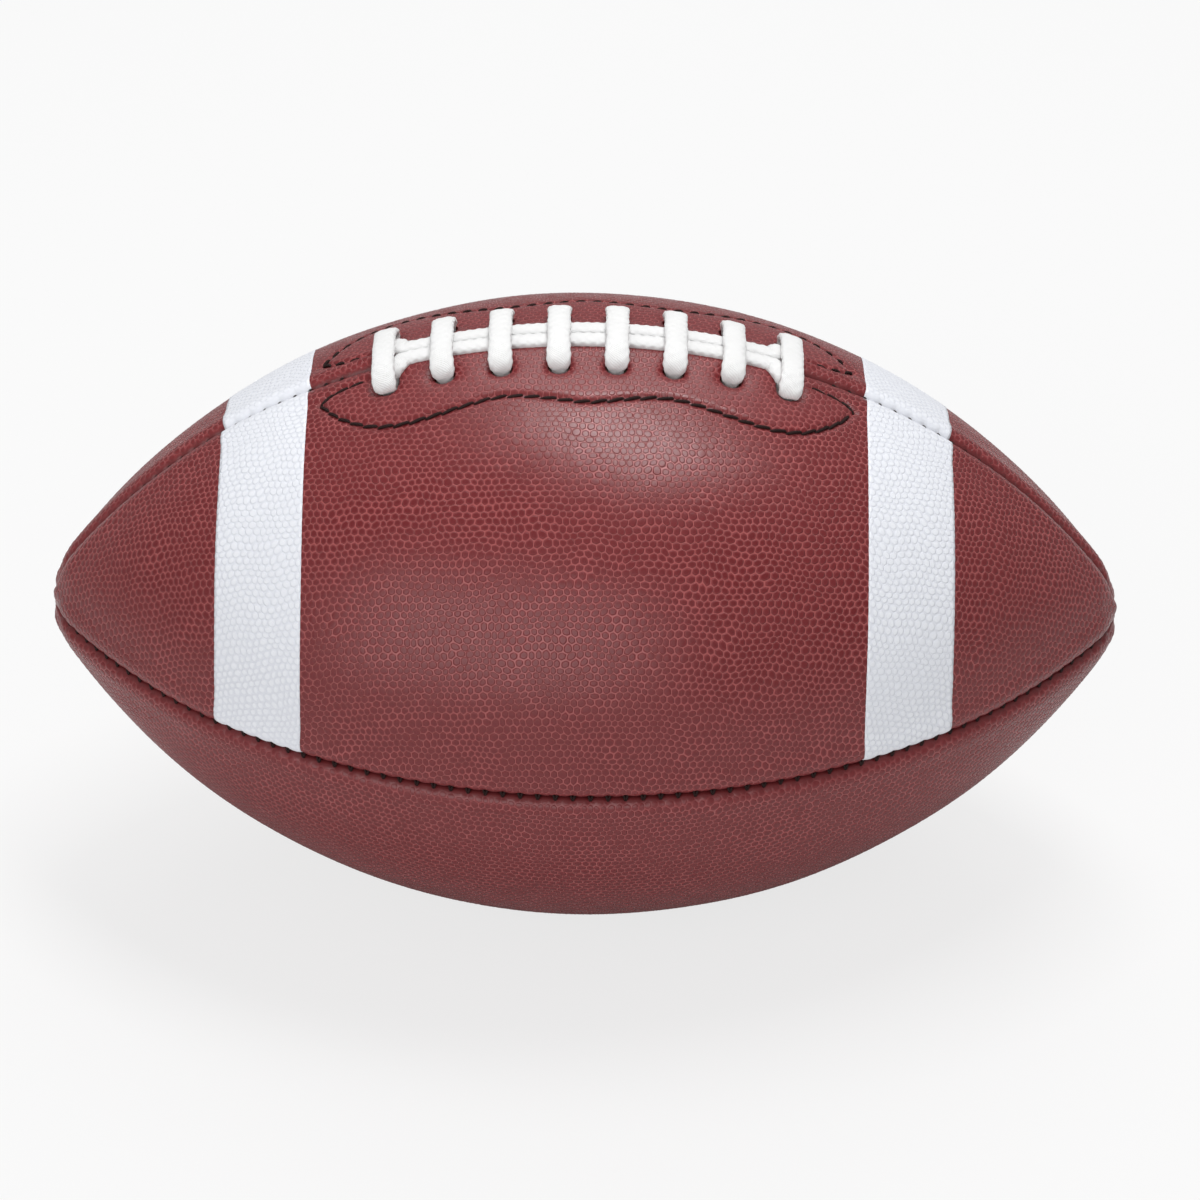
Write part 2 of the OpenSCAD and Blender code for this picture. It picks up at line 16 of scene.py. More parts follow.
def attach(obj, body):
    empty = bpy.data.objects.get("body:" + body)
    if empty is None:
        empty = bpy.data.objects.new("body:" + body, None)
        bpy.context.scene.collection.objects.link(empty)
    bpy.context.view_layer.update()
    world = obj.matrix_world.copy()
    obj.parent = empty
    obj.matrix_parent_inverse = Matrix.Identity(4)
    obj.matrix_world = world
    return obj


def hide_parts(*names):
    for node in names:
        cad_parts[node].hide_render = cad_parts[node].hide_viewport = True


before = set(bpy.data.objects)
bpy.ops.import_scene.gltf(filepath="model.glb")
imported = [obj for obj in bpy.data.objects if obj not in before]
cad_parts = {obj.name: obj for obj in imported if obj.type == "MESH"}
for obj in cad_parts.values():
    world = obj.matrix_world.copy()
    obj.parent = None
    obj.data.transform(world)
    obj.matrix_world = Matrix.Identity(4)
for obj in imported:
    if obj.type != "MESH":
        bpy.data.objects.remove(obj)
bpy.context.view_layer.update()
bpy.ops.object.select_all(action="DESELECT")

# %% [markdown]
# ## The shape of the ball
#
# From nose to nose the outline is one long arc that meets a round cap at each nose. The panels, the
# stripes, the stitches and the lace all follow this shape, so it is written down once. A place on
# the ball is a slope (0 in the middle, a quarter turn at a nose), an angle from the top round the
# long axis, and a height over the surface. The sizes are those of the CAD model.

# %% Sizes of the ball
MM = 0.001
ball_length = 286 * MM
ball_r = 84 * MM
nose_r = 25.6 * MM
cap_x = ball_length / 2 - nose_r
arc_r = (cap_x ** 2 + ball_r ** 2 - nose_r ** 2) / (2 * (ball_r - nose_r))
arc_sink = arc_r - ball_r
cap_slope = math.atan2(cap_x, arc_sink)
cap_run = cap_slope * arc_r
quarter = cap_run + (math.pi / 2 - cap_slope) * nose_r
tip_slope = math.radians(87.5)
tip_run = cap_run + (tip_slope - cap_slope) * nose_r

top_seam = 0.0
back_seam = math.radians(93.5)
front_seam = -back_seam
bottom_seam = math.pi
print("Over the leather it is", round(2 * quarter, 3), "m from nose to nose")


# %% Places on the ball
def slope_at(run):
    """Slope of the surface at a length over the leather from the middle."""
    size = np.abs(run)
    beyond = cap_slope + (size - cap_run) / nose_r
    return np.sign(run) * np.where(size > cap_run, beyond, size / arc_r)


def run_at(x):
    """Length over the leather from the middle to a place along the axis."""
    return np.arcsin(x / arc_r) * arc_r


def along(slope, height):
    on_nose = np.abs(slope) > cap_slope
    nose = np.sign(slope) * cap_x + (nose_r + height) * np.sin(slope)
    return np.where(on_nose, nose, (arc_r + height) * np.sin(slope))


def away(slope, height):
    on_nose = np.abs(slope) > cap_slope
    return np.where(on_nose, (nose_r + height) * np.cos(slope), (arc_r + height) * np.cos(slope) - arc_sink)


def place(slope, angle, height):
    """Points of the ball, one row each, from slopes, angles from the top and heights."""
    slope, angle, height = np.broadcast_arrays(slope, angle, height)
    reach = away(slope, height)
    return np.stack([along(slope, height), reach * np.sin(angle), reach * np.cos(angle) + ball_r], axis=-1)


def on_ball(x, side, height):
    """Points from a place along the axis and a distance from the top seam."""
    return place(np.arcsin(np.asarray(x) / arc_r), np.asarray(side) / ball_r, height)


def surface_matrix(x, side):
    """A frame on the ball: X along it, Y round it, Z outwards."""
    turn = Matrix.Rotation(-side / ball_r, 4, "X")
    lean = Matrix.Rotation(math.asin(x / arc_r), 4, "Y")
    lift = Matrix.Translation((0, 0, ball_r))
    return lift @ turn @ Matrix.Translation((0, 0, -arc_sink)) @ lean @ Matrix.Translation((0, 0, arc_r))


# %% [markdown]
# ## Where the lacing is sewn and threaded
#
# A leather reinforcement is sewn behind the lace holes of each upper panel. Its stitches draw a long
# wavy outline on the leather. The outline, the holes and the valve all press into the leather, so
# their places are needed before the panels are made.

# %% Sizes of the lacing
facing_length = 140.5 * MM
facing_w = 28.5 * MM
bar_pitch = 15 * MM
crossbars = 8
hole_row = 12.3 * MM
hole_d = 6 * MM
bar_x = [(i - (crossbars - 1) / 2) * bar_pitch for i in range(crossbars)]
first_x = bar_x[0]
pass_x = bar_pitch * 0.03
pass_side = hole_row * 0.7
slit_length = 134 * MM
lacing_sides = {"front": -1, "back": 1}


def smooth(points, steps):
    """The same points with more between them, on a smooth line."""
    p = np.array(points, float)
    before = np.vstack([p[:1], p[:-2]])
    after = np.vstack([p[2:], p[-1:]])
    a, b, c, d = before, p[:-1], p[1:], after
    rows = []
    for t in np.arange(steps) / steps:
        rows.append((2 * b + (c - a) * t + (2 * a - 5 * b + 4 * c - d) * t ** 2
                     + (3 * b - 3 * c + d - a) * t ** 3) / 2)
    return np.vstack([np.stack(rows, axis=1).reshape(-1, p.shape[1]), p[-1:]])


def lengths_along(points):
    """Length from the first point to each one along a line of points."""
    return np.concatenate([[0], np.cumsum(np.linalg.norm(np.diff(points, axis=0), axis=1))])


# %% The sewn outline
# Shares of half the length and of the width: the outer edge from the middle to a tip, and the way back
outline_shares = [
    (0, 0.895), (0.16, 0.835), (0.3, 0.797), (0.43, 0.855), (0.56, 0.945), (0.7, 1), (0.82, 0.935),
    (0.93, 0.71), (1, 0.42)]
return_shares = [(1, 0.42), (0.955, 0.315), (0.88, 0.26), (0.79, 0.23)]


def scaled(shares, flip):
    return [(flip * x * facing_length / 2, side * facing_w) for x, side in shares]


outer_edge = smooth(scaled(outline_shares, -1)[::-1] + scaled(outline_shares, 1)[1:], 4)
sewn_lines = [outer_edge, smooth(scaled(return_shares, 1), 4), smooth(scaled(return_shares, -1), 4)]
print("The outline is drawn with", len(outer_edge), "points")

# %% [markdown]
# ## Leather panels
#
# On the real ball each panel is cut flat from a pebbled hide, sewn to the next one inside out, and
# turned, so that its edges roll down into the seams. The panel here is made the same way: a flat
# sheet of two layers, fine on the grain side and coarse on the flesh side, is laid over the ball,
# with its edges rolled in. A sphere or a sculpted blob would give neither the seams nor the grain.

# %% Sizes of a panel
leather_t = 2.3 * MM
edge_t = 1.4 * MM
edge_depth = 6.5 * MM
slit_edge_depth = 4.2 * MM
seam_roll = 2.4 * MM
half_gap = 0.1 * MM
# Near a nose the roll and the pared edge are at most these shares of the distance from the axis
roll_limit = 0.22
edge_limit = 0.14
inner_roll_share = 0.36
stripe_from_nose = 73.6 * MM
stripe_w = 26.6 * MM
seam_stitch = 4.6 * MM
facing_stitch = 4.4 * MM

# The sheet's coarse rows run from nose to nose, with rows ending exactly at the stripes
nose_rows = 12
stripe_rows = 4
middle_rows = 24
rows = 2 * (nose_rows + stripe_rows) + middle_rows
columns = 24
edge_columns = 2
fine = 8
stripe_outer = quarter - stripe_from_nose
stripe_inner = stripe_outer - stripe_w
row_marks = np.cumsum([0, nose_rows, stripe_rows, middle_rows, stripe_rows, nose_rows])
run_marks = [-tip_run, -stripe_outer, -stripe_inner, stripe_inner, stripe_outer, tip_run]


# %% Helpers for pieces
weld = 0.01 * MM


def pick(piece):
    """Selects one piece alone and makes it the active one."""
    bpy.ops.object.select_all(action="DESELECT")
    bpy.context.view_layer.objects.active = piece
    piece.select_set(True)


def add_grid(name, x_faces, y_faces):
    """A flat grid, one unit wide and long, ready to be laid."""
    bpy.ops.object.select_all(action="DESELECT")
    bpy.ops.mesh.primitive_grid_add(x_subdivisions=x_faces, y_subdivisions=y_faces, size=1)
    grid = bpy.context.object
    grid.name = grid.data.name = name
    return grid


def copied(piece, name):
    copy = piece.copy()
    copy.data = piece.data.copy()
    copy.name = copy.data.name = name
    bpy.context.collection.objects.link(copy)
    return copy


def changed(piece, name, kind, **settings):
    """The piece with one modifier added and applied."""
    pick(piece)
    change = piece.modifiers.new(name, kind)
    for setting, value in settings.items():
        setattr(change, setting, value)
    bpy.ops.object.modifier_apply(modifier=name)
    return piece


def close_round(piece):
    """Joins the two long edges of a grid that was laid round, and fills both its ends."""
    pick(piece)
    bpy.ops.object.mode_set(mode="EDIT")
    bpy.ops.mesh.select_all(action="SELECT")
    bpy.ops.mesh.remove_doubles(threshold=weld)
    bpy.ops.mesh.select_all(action="DESELECT")
    bpy.ops.mesh.select_mode(type="EDGE")
    bpy.ops.mesh.select_non_manifold()
    bpy.ops.mesh.edge_face_add()
    bpy.ops.mesh.select_all(action="SELECT")
    bpy.ops.mesh.normals_make_consistent(inside=False)
    bpy.ops.object.mode_set(mode="OBJECT")
    return piece


def corners(mesh):
    """The mesh's points as an array, one row each."""
    flat = np.empty(3 * len(mesh.vertices))
    mesh.vertices.foreach_get("co", flat)
    return flat.reshape(-1, 3)


def grid_places(grid, last_row, last_column):
    """The row and the column of each point of a grid."""
    shares = corners(grid.data) + 0.5
    return [np.round(shares[:, way] * last).astype(int) for way, last in enumerate((last_row, last_column))]


def set_corners(mesh, points):
    mesh.vertices.foreach_set("co", np.ascontiguousarray(points, dtype=np.float64).ravel())
    mesh.update()


def add_uv(mesh, name, per_point):
    """A UV map from one pair of numbers for each point."""
    corner_points = np.empty(len(mesh.loops), int)
    mesh.loops.foreach_get("vertex_index", corner_points)
    layer = mesh.uv_layers.new(name=name)
    layer.data.foreach_set("uv", per_point[corner_points].ravel())


# %% A flat sheet of two layers
def flat_sheet(name):
    """A flat closed sheet, one unit a coarse face, with its upper side divided finely."""
    sheet = add_grid(name, rows, columns)
    bpy.ops.object.mode_set(mode="EDIT")
    bpy.ops.mesh.select_mode(type="FACE")
    bpy.ops.mesh.select_all(action="SELECT")
    bpy.ops.transform.resize(value=(rows, columns, 1))
    bpy.ops.transform.translate(value=(rows / 2, columns / 2, 0))
    bpy.ops.mesh.extrude_region_move(TRANSFORM_OT_translate={"value": (0, 0, -1)})
    bpy.ops.mesh.select_all(action="SELECT")
    bpy.ops.mesh.normals_make_consistent(inside=False)
    bpy.ops.mesh.select_all(action="DESELECT")
    bpy.ops.object.mode_set(mode="OBJECT")
    for face in sheet.data.polygons:
        face.select = face.normal.z > 0.5 and 1 < face.center.y < columns - 1
    bpy.ops.object.mode_set(mode="EDIT")
    bpy.ops.mesh.subdivide(number_cuts=fine - 1)
    bpy.ops.object.mode_set(mode="OBJECT")
    return sheet


# %% [markdown]
# ### What presses into the leather
#
# The stuffed panels swell beside their seams and are pulled in at every stitch. The sewn outline lies
# in a groove, the leather sinks round each lace hole and round the valve, and over the reinforcement
# it stands a little higher. All of this is one height that is added while the sheet is laid.

# %% Hollows and swellings
stitch_pull = 0.4 * MM
pull_along = 0.9 * MM
pull_across = 1.4 * MM
pull_middle = 0.6 * MM
seam_swell = 0.5 * MM
swell_middle = 4.5 * MM
swell_reach = 3 * MM
swell_rise = 2 * MM
groove = 0.8 * MM
groove_reach = 0.9 * MM
facing_swell = 0.35 * MM
facing_rise = 2 * MM
hole_sink = 1.5 * MM
hole_reach = 3.2 * MM
pass_sink = hole_sink * 0.6
pass_reach = 3 * MM
valve_sink = 0.5 * MM
valve_reach = 7 * MM
unevenness = 0.12 * MM
# Lengths along the axis from the middle: as far as the lacing presses, and where its outline is closed
lacing_reach = facing_length * 0.6
outline_closed = facing_length * 0.38
valve_angle = (back_seam + bottom_seam) / 2
stitched_run = quarter - 7 * MM


def bump(distance, reach):
    return np.exp(-(distance / reach) ** 2)


def distance_to_line(points, line):
    """Least distance of each point to a line of points."""
    best = np.full(len(points), 1.0)
    for start, end in zip(line[:-1], line[1:]):
        run = end - start
        share = np.clip(((points - start) @ run) / (run @ run), 0, 1)
        best = np.minimum(best, np.linalg.norm(points - start - share[:, None] * run, axis=1))
    return best


def inside_outline(x, side):
    """Whether each point lies inside the sewn outline, which is closed along the seam."""
    outer_side = np.interp(x, outer_edge[:, 0], outer_edge[:, 1], left=0, right=0)
    inner_side = np.interp(np.abs(x), (outline_closed, facing_length / 2), (0, outer_edge[0, 1]))
    return (inner_side < side) & (side < outer_side)


def seam_pull(run, from_seam, start):
    """How far each stitch of a seam pulls the leather in."""
    beyond = np.abs(run) - start
    to_stitch = np.abs(beyond - np.round(beyond / seam_stitch) * seam_stitch)
    pull = bump(to_stitch, pull_along) * bump(from_seam - pull_middle, pull_across)
    return np.where((beyond > -seam_stitch / 2) & (np.abs(run) < stitched_run), -stitch_pull * pull, 0)


def seam_bulge(from_seam):
    """How far the stuffing swells a panel beside a seam. It is nothing at the seam itself."""
    rise = np.clip(from_seam / swell_rise - 0.25, 0, 1)
    return seam_swell * bump(from_seam - swell_middle, swell_reach) * rise


def lacing_relief(points, dir):
    """Height over the reinforcement, with the groove of its stitches and the sunk lace holes, and how
    far the grain is smoothed there."""
    lift = np.zeros(len(points))
    smoothed = np.zeros(len(points))
    near = (np.abs(points[:, 0]) < lacing_reach) & (points[:, 2] > ball_r)
    spot = points[near]
    x = spot[:, 0]
    side = dir * np.arctan2(spot[:, 1], spot[:, 2] - ball_r) * ball_r
    to_line = np.full(len(spot), 1.0)
    for line in sewn_lines:
        to_line = np.minimum(to_line, distance_to_line(spot, on_ball(line[:, 0], dir * line[:, 1], 0)))
    signed = np.where(inside_outline(x, side), to_line, -to_line)
    swell = facing_swell * np.clip(signed / facing_rise + 0.5, 0, 1)
    swell -= groove * bump(to_line, groove_reach)
    end_x = first_x + pass_x
    holes = [(x_hole, hole_row, hole_sink, hole_reach) for x_hole in bar_x]
    holes += [(x_hole, pass_side, pass_sink, pass_reach) for x_hole in (end_x, -end_x)]
    for x_hole, from_seam, sink, reach in holes:
        hole = on_ball(x_hole, dir * from_seam, 0)
        swell -= sink * bump(np.linalg.norm(spot - hole, axis=1), reach)
    lift[near] = swell
    smoothed[near] = np.clip(signed / smoothing_rise + 0.5, 0, 1)
    return lift, smoothed


def valve_relief(points):
    hole = place(0, valve_angle, 0)
    return -valve_sink * bump(np.linalg.norm(points - hole, axis=1), valve_reach)


def uneven(run, angle):
    """The slow waves of a stuffed hide: two long ones that cross, and a short one half as high."""
    bent, straight, short = [run / length for length in (19 * MM, 31 * MM, 9 * MM)]
    crossed = np.sin(bent + 1.3 * np.sin(angle * 3)) * np.sin(angle * 5 + straight)
    return unevenness * (crossed + 0.5 * np.sin(short + angle * 7))


# %% [markdown]
# ### Laying the sheet
#
# Across a panel the sheet starts as a flange deep in one seam, rolls over a small arc, crosses the
# ball and rolls down into the next seam. The same pass gives each point its place on the flat hide,
# as a UV map in metres, so that the grain keeps its size everywhere and isn't stretched.

# %% Lay a panel
grain_start = 0.8 * MM
grain_rise = 3.2 * MM
smoothing = 0.22
smoothing_rise = 3 * MM
# Towards the seams the rolled edge is darkened, painted shade of the seam valley that partly stands for
# stain, and the flesh side by half, in shares
edge_shade_and_stain = 1.35
shade_and_stain_fall = 0.75
flesh_shade_and_stain = 0.5
least_lean = 1e-4


def across(slope, column, first, second, lift, outer):
    """Angle and height of the sheet's points, and their distance from the panel's middle line."""
    from_edge = np.minimum(column, columns - column)
    mirrored = column > columns / 2
    seam = np.where(mirrored, second, first)
    towards = np.where(mirrored, -1, 1)
    reach = away(slope, 0)
    roll = np.minimum(seam_roll, reach * roll_limit)
    edge = np.minimum(edge_t, reach * edge_limit)
    on_slit = (seam == top_seam) & (np.abs(along(slope, 0)) <= slit_length / 2)
    depth = np.where(on_slit, slit_edge_depth, edge_depth)
    inner_roll = roll * inner_roll_share

    turn = np.clip(from_edge - 1, 0, 1) * math.pi / 2
    flange = from_edge < 1
    side = np.where(flange, half_gap, half_gap + roll - (roll + lift) * np.cos(turn))
    height = np.where(flange, -depth + from_edge * (depth - roll), (roll + lift) * np.sin(turn) - roll)
    inner_side = half_gap + np.where(from_edge <= 1, edge, np.maximum(roll, edge + inner_roll))
    pared = np.where(from_edge == 1, -leather_t - inner_roll, -leather_t)
    inner_height = np.where(from_edge == 0, -depth, pared)
    side = np.where(outer, side, inner_side)
    height = np.where(outer, height, inner_height)
    beside = seam + towards * np.arcsin(np.clip(side / away(slope, height), -1, 1))

    top = np.where(outer, lift, -leather_t)
    rim = np.arcsin((half_gap + roll) / away(slope, top))
    share = (column - edge_columns) / (columns - 2 * edge_columns)
    crossing = first + rim + (second - first - 2 * rim) * share
    on_top = from_edge >= edge_columns
    angle = np.where(on_top, crossing, beside)
    height = np.where(on_top, top, height)

    half = (second - first) / 2 * reach - half_gap - roll
    rolled = half + roll * (math.pi / 2 - turn) + np.clip(1 - from_edge, 0, 1) * (depth - roll)
    middle = np.where(on_top, (crossing - (first + second) / 2) * reach, -towards * rolled)
    return angle, height, middle


def on_hide(run, slope, middle):
    """Place on the flat hide: each ring of the ball is laid out as the edge of a cone."""
    reach = away(slope, 0)
    lean = np.where(np.abs(np.sin(slope)) < least_lean, least_lean, np.sin(slope))
    opened = middle / reach * lean
    return np.stack([run + reach / lean * (1 - np.cos(opened)), reach / lean * np.sin(opened)], axis=-1)


def lay_panel(sheet, first, second):
    mesh = sheet.data
    flat = corners(mesh)
    row, column = flat[:, 0], flat[:, 1]
    outer = flat[:, 2] > -0.5
    run = np.interp(row, row_marks, run_marks)
    slope = slope_at(run)
    angle, height, middle = across(slope, column, first, second, 0.0, outer)
    points = place(slope, angle, height)
    reach = away(slope, 0)

    lift = uneven(run, angle)
    grain = np.ones(len(points))
    for seam in (first, second):
        from_seam = np.abs(angle - seam) * reach
        lift += seam_bulge(from_seam)
        lift += seam_pull(run, from_seam, slit_length / 2 if seam == top_seam else seam_stitch / 2)
        grain *= np.clip((from_seam - grain_start) / grain_rise, 0, 1)
    if top_seam in (first, second):
        relief, smoothed = lacing_relief(points, 1 if first == top_seam else -1)
        lift += relief
        grain *= 1 - smoothing * smoothed
    if first == back_seam:
        lift += valve_relief(points)
    angle, height, middle = across(slope, column, first, second, lift, outer)

    remember = mesh.attributes.new("laid_from", "FLOAT_VECTOR", "POINT")
    remember.data.foreach_set("vector", flat.ravel())
    from_edge = np.minimum(column, columns - column)
    # The rolled edge gets painted shade towards its seam, partly standing for stain
    rolled_edge_shade_and_stain = np.clip(edge_shade_and_stain - from_edge * shade_and_stain_fall, 0, 1)
    point_values = {"grained": np.where(outer & (from_edge > 1), grain, 0.0),
                    "seam_shade_and_stain": np.where(outer, rolled_edge_shade_and_stain, flesh_shade_and_stain)}
    for name, values in point_values.items():
        mesh.attributes.new(name, "FLOAT", "POINT").data.foreach_set("value", values)
    add_uv(mesh, "hide", on_hide(run, slope, middle))
    set_corners(mesh, place(slope, angle, height))
    return sheet


# %% [markdown]
# ### Pebbles
#
# The hide is embossed with round pebbles a little over two millimetres apart, packed like a
# honeycomb whose rows bend and crowd. Geometry Nodes lift the fine side of the sheet by that pattern,
# and the leather's material reads the same pattern, so that colour and relief meet.

# %% The pebble pattern as nodes
pebble_pitch = 2.1 * MM
pebble_height = 0.15 * MM
row_height = math.sqrt(3) / 2
cell = (0.5, row_height, 1)
# Two slow waves bend and crowd the rows: scale and amount of each, in pitches
row_waves = ((0.2, 1.0), (0.7, 0.3))
# A pebble's size runs from the least by the spread, and its form is partly round and partly six-sided
least_size = 0.88
size_spread = 0.24
roundness = 0.6


def link(tree, source, target):
    tree.links.new(source, target)


def fill(tree, node, values):
    """Sets socket values of a node. A value may be a socket to link."""
    for name, value in values.items():
        if isinstance(value, bpy.types.NodeSocket):
            link(tree, value, node.inputs[name])
        else:
            node.inputs[name].default_value = value


def add_node(tree, kind, values=None, **settings):
    """A node with its settings and socket values."""
    node = tree.nodes.new(kind)
    for name, value in settings.items():
        setattr(node, name, value)
    fill(tree, node, values or {})
    return node


def vector_step(tree, operation, *values):
    """One step of vector arithmetic. It gives the vector and the number."""
    node = add_node(tree, "ShaderNodeVectorMath", dict(enumerate(values)), operation=operation)
    return node.outputs[0], node.outputs[1]


def number_step(tree, operation, *values):
    return add_node(tree, "ShaderNodeMath", dict(enumerate(values)), operation=operation).outputs[0]


def ranged(tree, value, low, high, to_low, to_high, way="LINEAR"):
    """A value turned from one range to another."""
    limits = {"From Min": low, "From Max": high, "To Min": to_low, "To Max": to_high}
    node = add_node(tree, "ShaderNodeMapRange", {"Value": value, **limits}, interpolation_type=way)
    return node.outputs["Result"]


def eased(tree, value, low, high, to_low, to_high):
    """The same with soft ends."""
    return ranged(tree, value, low, high, to_low, to_high, "SMOOTHSTEP")


def mixed(tree, share, first, second):
    """A mix of two colours by a share."""
    return add_node(tree, "ShaderNodeMix", {0: share, 6: first, 7: second}, data_type="RGBA").outputs[2]


def nearer_of(tree, first, second):
    """The shorter one of two vectors."""
    lengths = [vector_step(tree, "LENGTH", vector)[1] for vector in (first, second)]
    share = number_step(tree, "LESS_THAN", lengths[1], lengths[0])
    return add_node(tree, "ShaderNodeMix", {0: share, 4: first, 5: second}, data_type="VECTOR").outputs[1]


def noise(tree, vector, scale, detail):
    values = {"Vector": vector, "Scale": scale, "Detail": detail}
    return add_node(tree, "ShaderNodeTexNoise", values).outputs["Fac"]


def pebble_cells(tree, hide):
    """How far a place on the hide is from the edge and from the middle of its pebble, in pitches."""
    place_on = vector_step(tree, "MULTIPLY", hide, (1 / pebble_pitch, 1 / pebble_pitch, 0))[0]
    for scale, amount in row_waves:
        waves = add_node(tree, "ShaderNodeTexNoise", {"Vector": place_on, "Scale": scale, "Detail": 0.0},
                         noise_dimensions="2D")
        amounts = (amount, amount, 0)
        place_on = vector_step(tree, "MULTIPLY_ADD", waves.outputs["Color"], amounts, place_on)[0]
    shifted = vector_step(tree, "ADD", place_on, (0.5, row_height, 0))[0]
    opposite = tuple(-side for side in cell)
    from_middle = nearer_of(tree, *[vector_step(tree, "WRAP", way, cell, opposite)[0]
                                    for way in (place_on, shifted)])
    size = vector_step(tree, "ABSOLUTE", from_middle)[0]
    flat_sides = [vector_step(tree, "DOT_PRODUCT", size, side)[1]
                  for side in ((1, 0, 0), (0.5, row_height, 0))]
    six_sided = number_step(tree, "MAXIMUM", *flat_sides)
    to_edge = number_step(tree, "SUBTRACT", 0.5, six_sided)
    # Each pebble has a size of its own
    middle = vector_step(tree, "SUBTRACT", place_on, from_middle)[0]
    in_cell = vector_step(tree, "ADD", middle, (0.25, row_height / 2, 0))[0]
    counted = vector_step(tree, "SNAP", in_cell, cell)[0]
    own = add_node(tree, "ShaderNodeTexWhiteNoise", {"Vector": counted}, noise_dimensions="2D")
    growth = number_step(tree, "MULTIPLY_ADD", own.outputs["Value"], size_spread, least_size)
    round_share = number_step(tree, "MULTIPLY", vector_step(tree, "LENGTH", from_middle)[1], roundness)
    mixed_share = number_step(tree, "MULTIPLY_ADD", six_sided, 1 - roundness, round_share)
    return to_edge, number_step(tree, "MULTIPLY", mixed_share, growth)


def pebble_dome(tree, to_middle, top=0.33, foot=0.45):
    """Flat top and round shoulder of a pebble, from 0 in the furrow to 1 on top. Top and foot are where
    the shoulder begins and ends, from the middle."""
    return eased(tree, to_middle, top, foot, 1.0, 0.0)


def make_emboss():
    tree = bpy.data.node_groups.new("emboss pebbles", "GeometryNodeTree")
    tree.interface.new_socket("Geometry", in_out="INPUT", socket_type="NodeSocketGeometry")
    tree.interface.new_socket("Geometry", in_out="OUTPUT", socket_type="NodeSocketGeometry")
    start = tree.nodes.new("NodeGroupInput").outputs[0]
    end = tree.nodes.new("NodeGroupOutput")
    hide, grained = [
        add_node(tree, "GeometryNodeInputNamedAttribute", {"Name": name}, data_type=kind).outputs[0]
        for name, kind in (("hide", "FLOAT_VECTOR"), ("grained", "FLOAT"))]
    dome = pebble_dome(tree, pebble_cells(tree, hide)[1], top=0.1, foot=0.5)
    height = number_step(tree, "MULTIPLY", number_step(tree, "MULTIPLY", dome, pebble_height), grained)
    normal = tree.nodes.new("GeometryNodeInputNormal").outputs[0]
    offset = add_node(tree, "ShaderNodeVectorMath", {0: normal, "Scale": height}, operation="SCALE")
    move = add_node(tree, "GeometryNodeSetPosition", {"Geometry": start, "Offset": offset.outputs[0]})
    link(tree, move.outputs[0], end.inputs[0])
    return tree


emboss = make_emboss()


# %% [markdown]
# ### Holes
#
# Lace holes are punched through the upper panels, and the holes at both ends are slots because the
# lace passes through them twice. The valve looks out through a round hole in a lower panel. Real
# punches cut them here: cylinders with a boolean modifier.

# %% Punches
punch_sides = 24
punch_depth = 20 * MM
neck_hole_d = 11.4 * MM


def punch(matrix, diameter, slot=(0, 0)):
    """A cylinder along the normal, stretched to a slot when it has a second middle."""
    bpy.ops.object.select_all(action="DESELECT")
    bpy.ops.mesh.primitive_cylinder_add(vertices=punch_sides, radius=diameter / 2, depth=punch_depth)
    tool = bpy.context.object
    run = Vector((slot[0], slot[1], 0))
    for vertex in tool.data.vertices:
        if run.length > 0 and vertex.co.dot(run) > 0:
            vertex.co += run
    tool.data.transform(matrix)
    return tool


def joined(objects, name):
    bpy.ops.object.select_all(action="DESELECT")
    for item in objects:
        item.select_set(True)
    bpy.context.view_layer.objects.active = objects[0]
    bpy.ops.object.join()
    result = bpy.context.object
    result.name = result.data.name = name
    return result


def cut(piece, tool):
    changed(piece, "hole", "BOOLEAN", operation="DIFFERENCE", object=tool, solver="MANIFOLD")
    bpy.data.objects.remove(tool, do_unlink=True)


def lace_punches(dir):
    tools = [punch(surface_matrix(x, dir * hole_row), hole_d) for x in bar_x[1:-1]]
    for x in (first_x, -first_x):
        second = (-math.copysign(pass_x, x), dir * (pass_side - hole_row))
        tools.append(punch(surface_matrix(x, dir * hole_row), hole_d, second))
    return joined(tools, "lace_punches")


def valve_punch():
    turn = Matrix.Rotation(-valve_angle, 4, "X")
    matrix = Matrix.Translation((0, 0, ball_r)) @ turn @ Matrix.Translation((0, 0, ball_r))
    return punch(matrix, neck_hole_d)


# %% Make the four panels
flat = flat_sheet("panel")
panel_seams = {
    "front_upper": (front_seam, top_seam),
    "back_upper": (top_seam, back_seam),
    "front_lower": (-bottom_seam, front_seam),
    "back_lower": (back_seam, bottom_seam),
}
panels = {}
for name, (first, second) in panel_seams.items():
    sheet = lay_panel(copied(flat, "leather_" + name), first, second)
    panels[name] = changed(sheet, "pebbles", "NODES", node_group=emboss)
    bpy.ops.object.shade_smooth_by_angle(angle=math.radians(60))
    print(sheet.name, len(sheet.data.polygons), "faces")
bpy.data.objects.remove(flat, do_unlink=True)

# %% [markdown]
# ### Painted stripes
#
# The white half rings are paint on the pebbles. Each is a thin film that copies the panel's own
# faces between two rows, so it follows every pebble and rolls into the seams with the leather.

# %% Copy the film of paint
paint_t = 0.12 * MM
paint_clear = 0.02 * MM
row_slack = 0.01


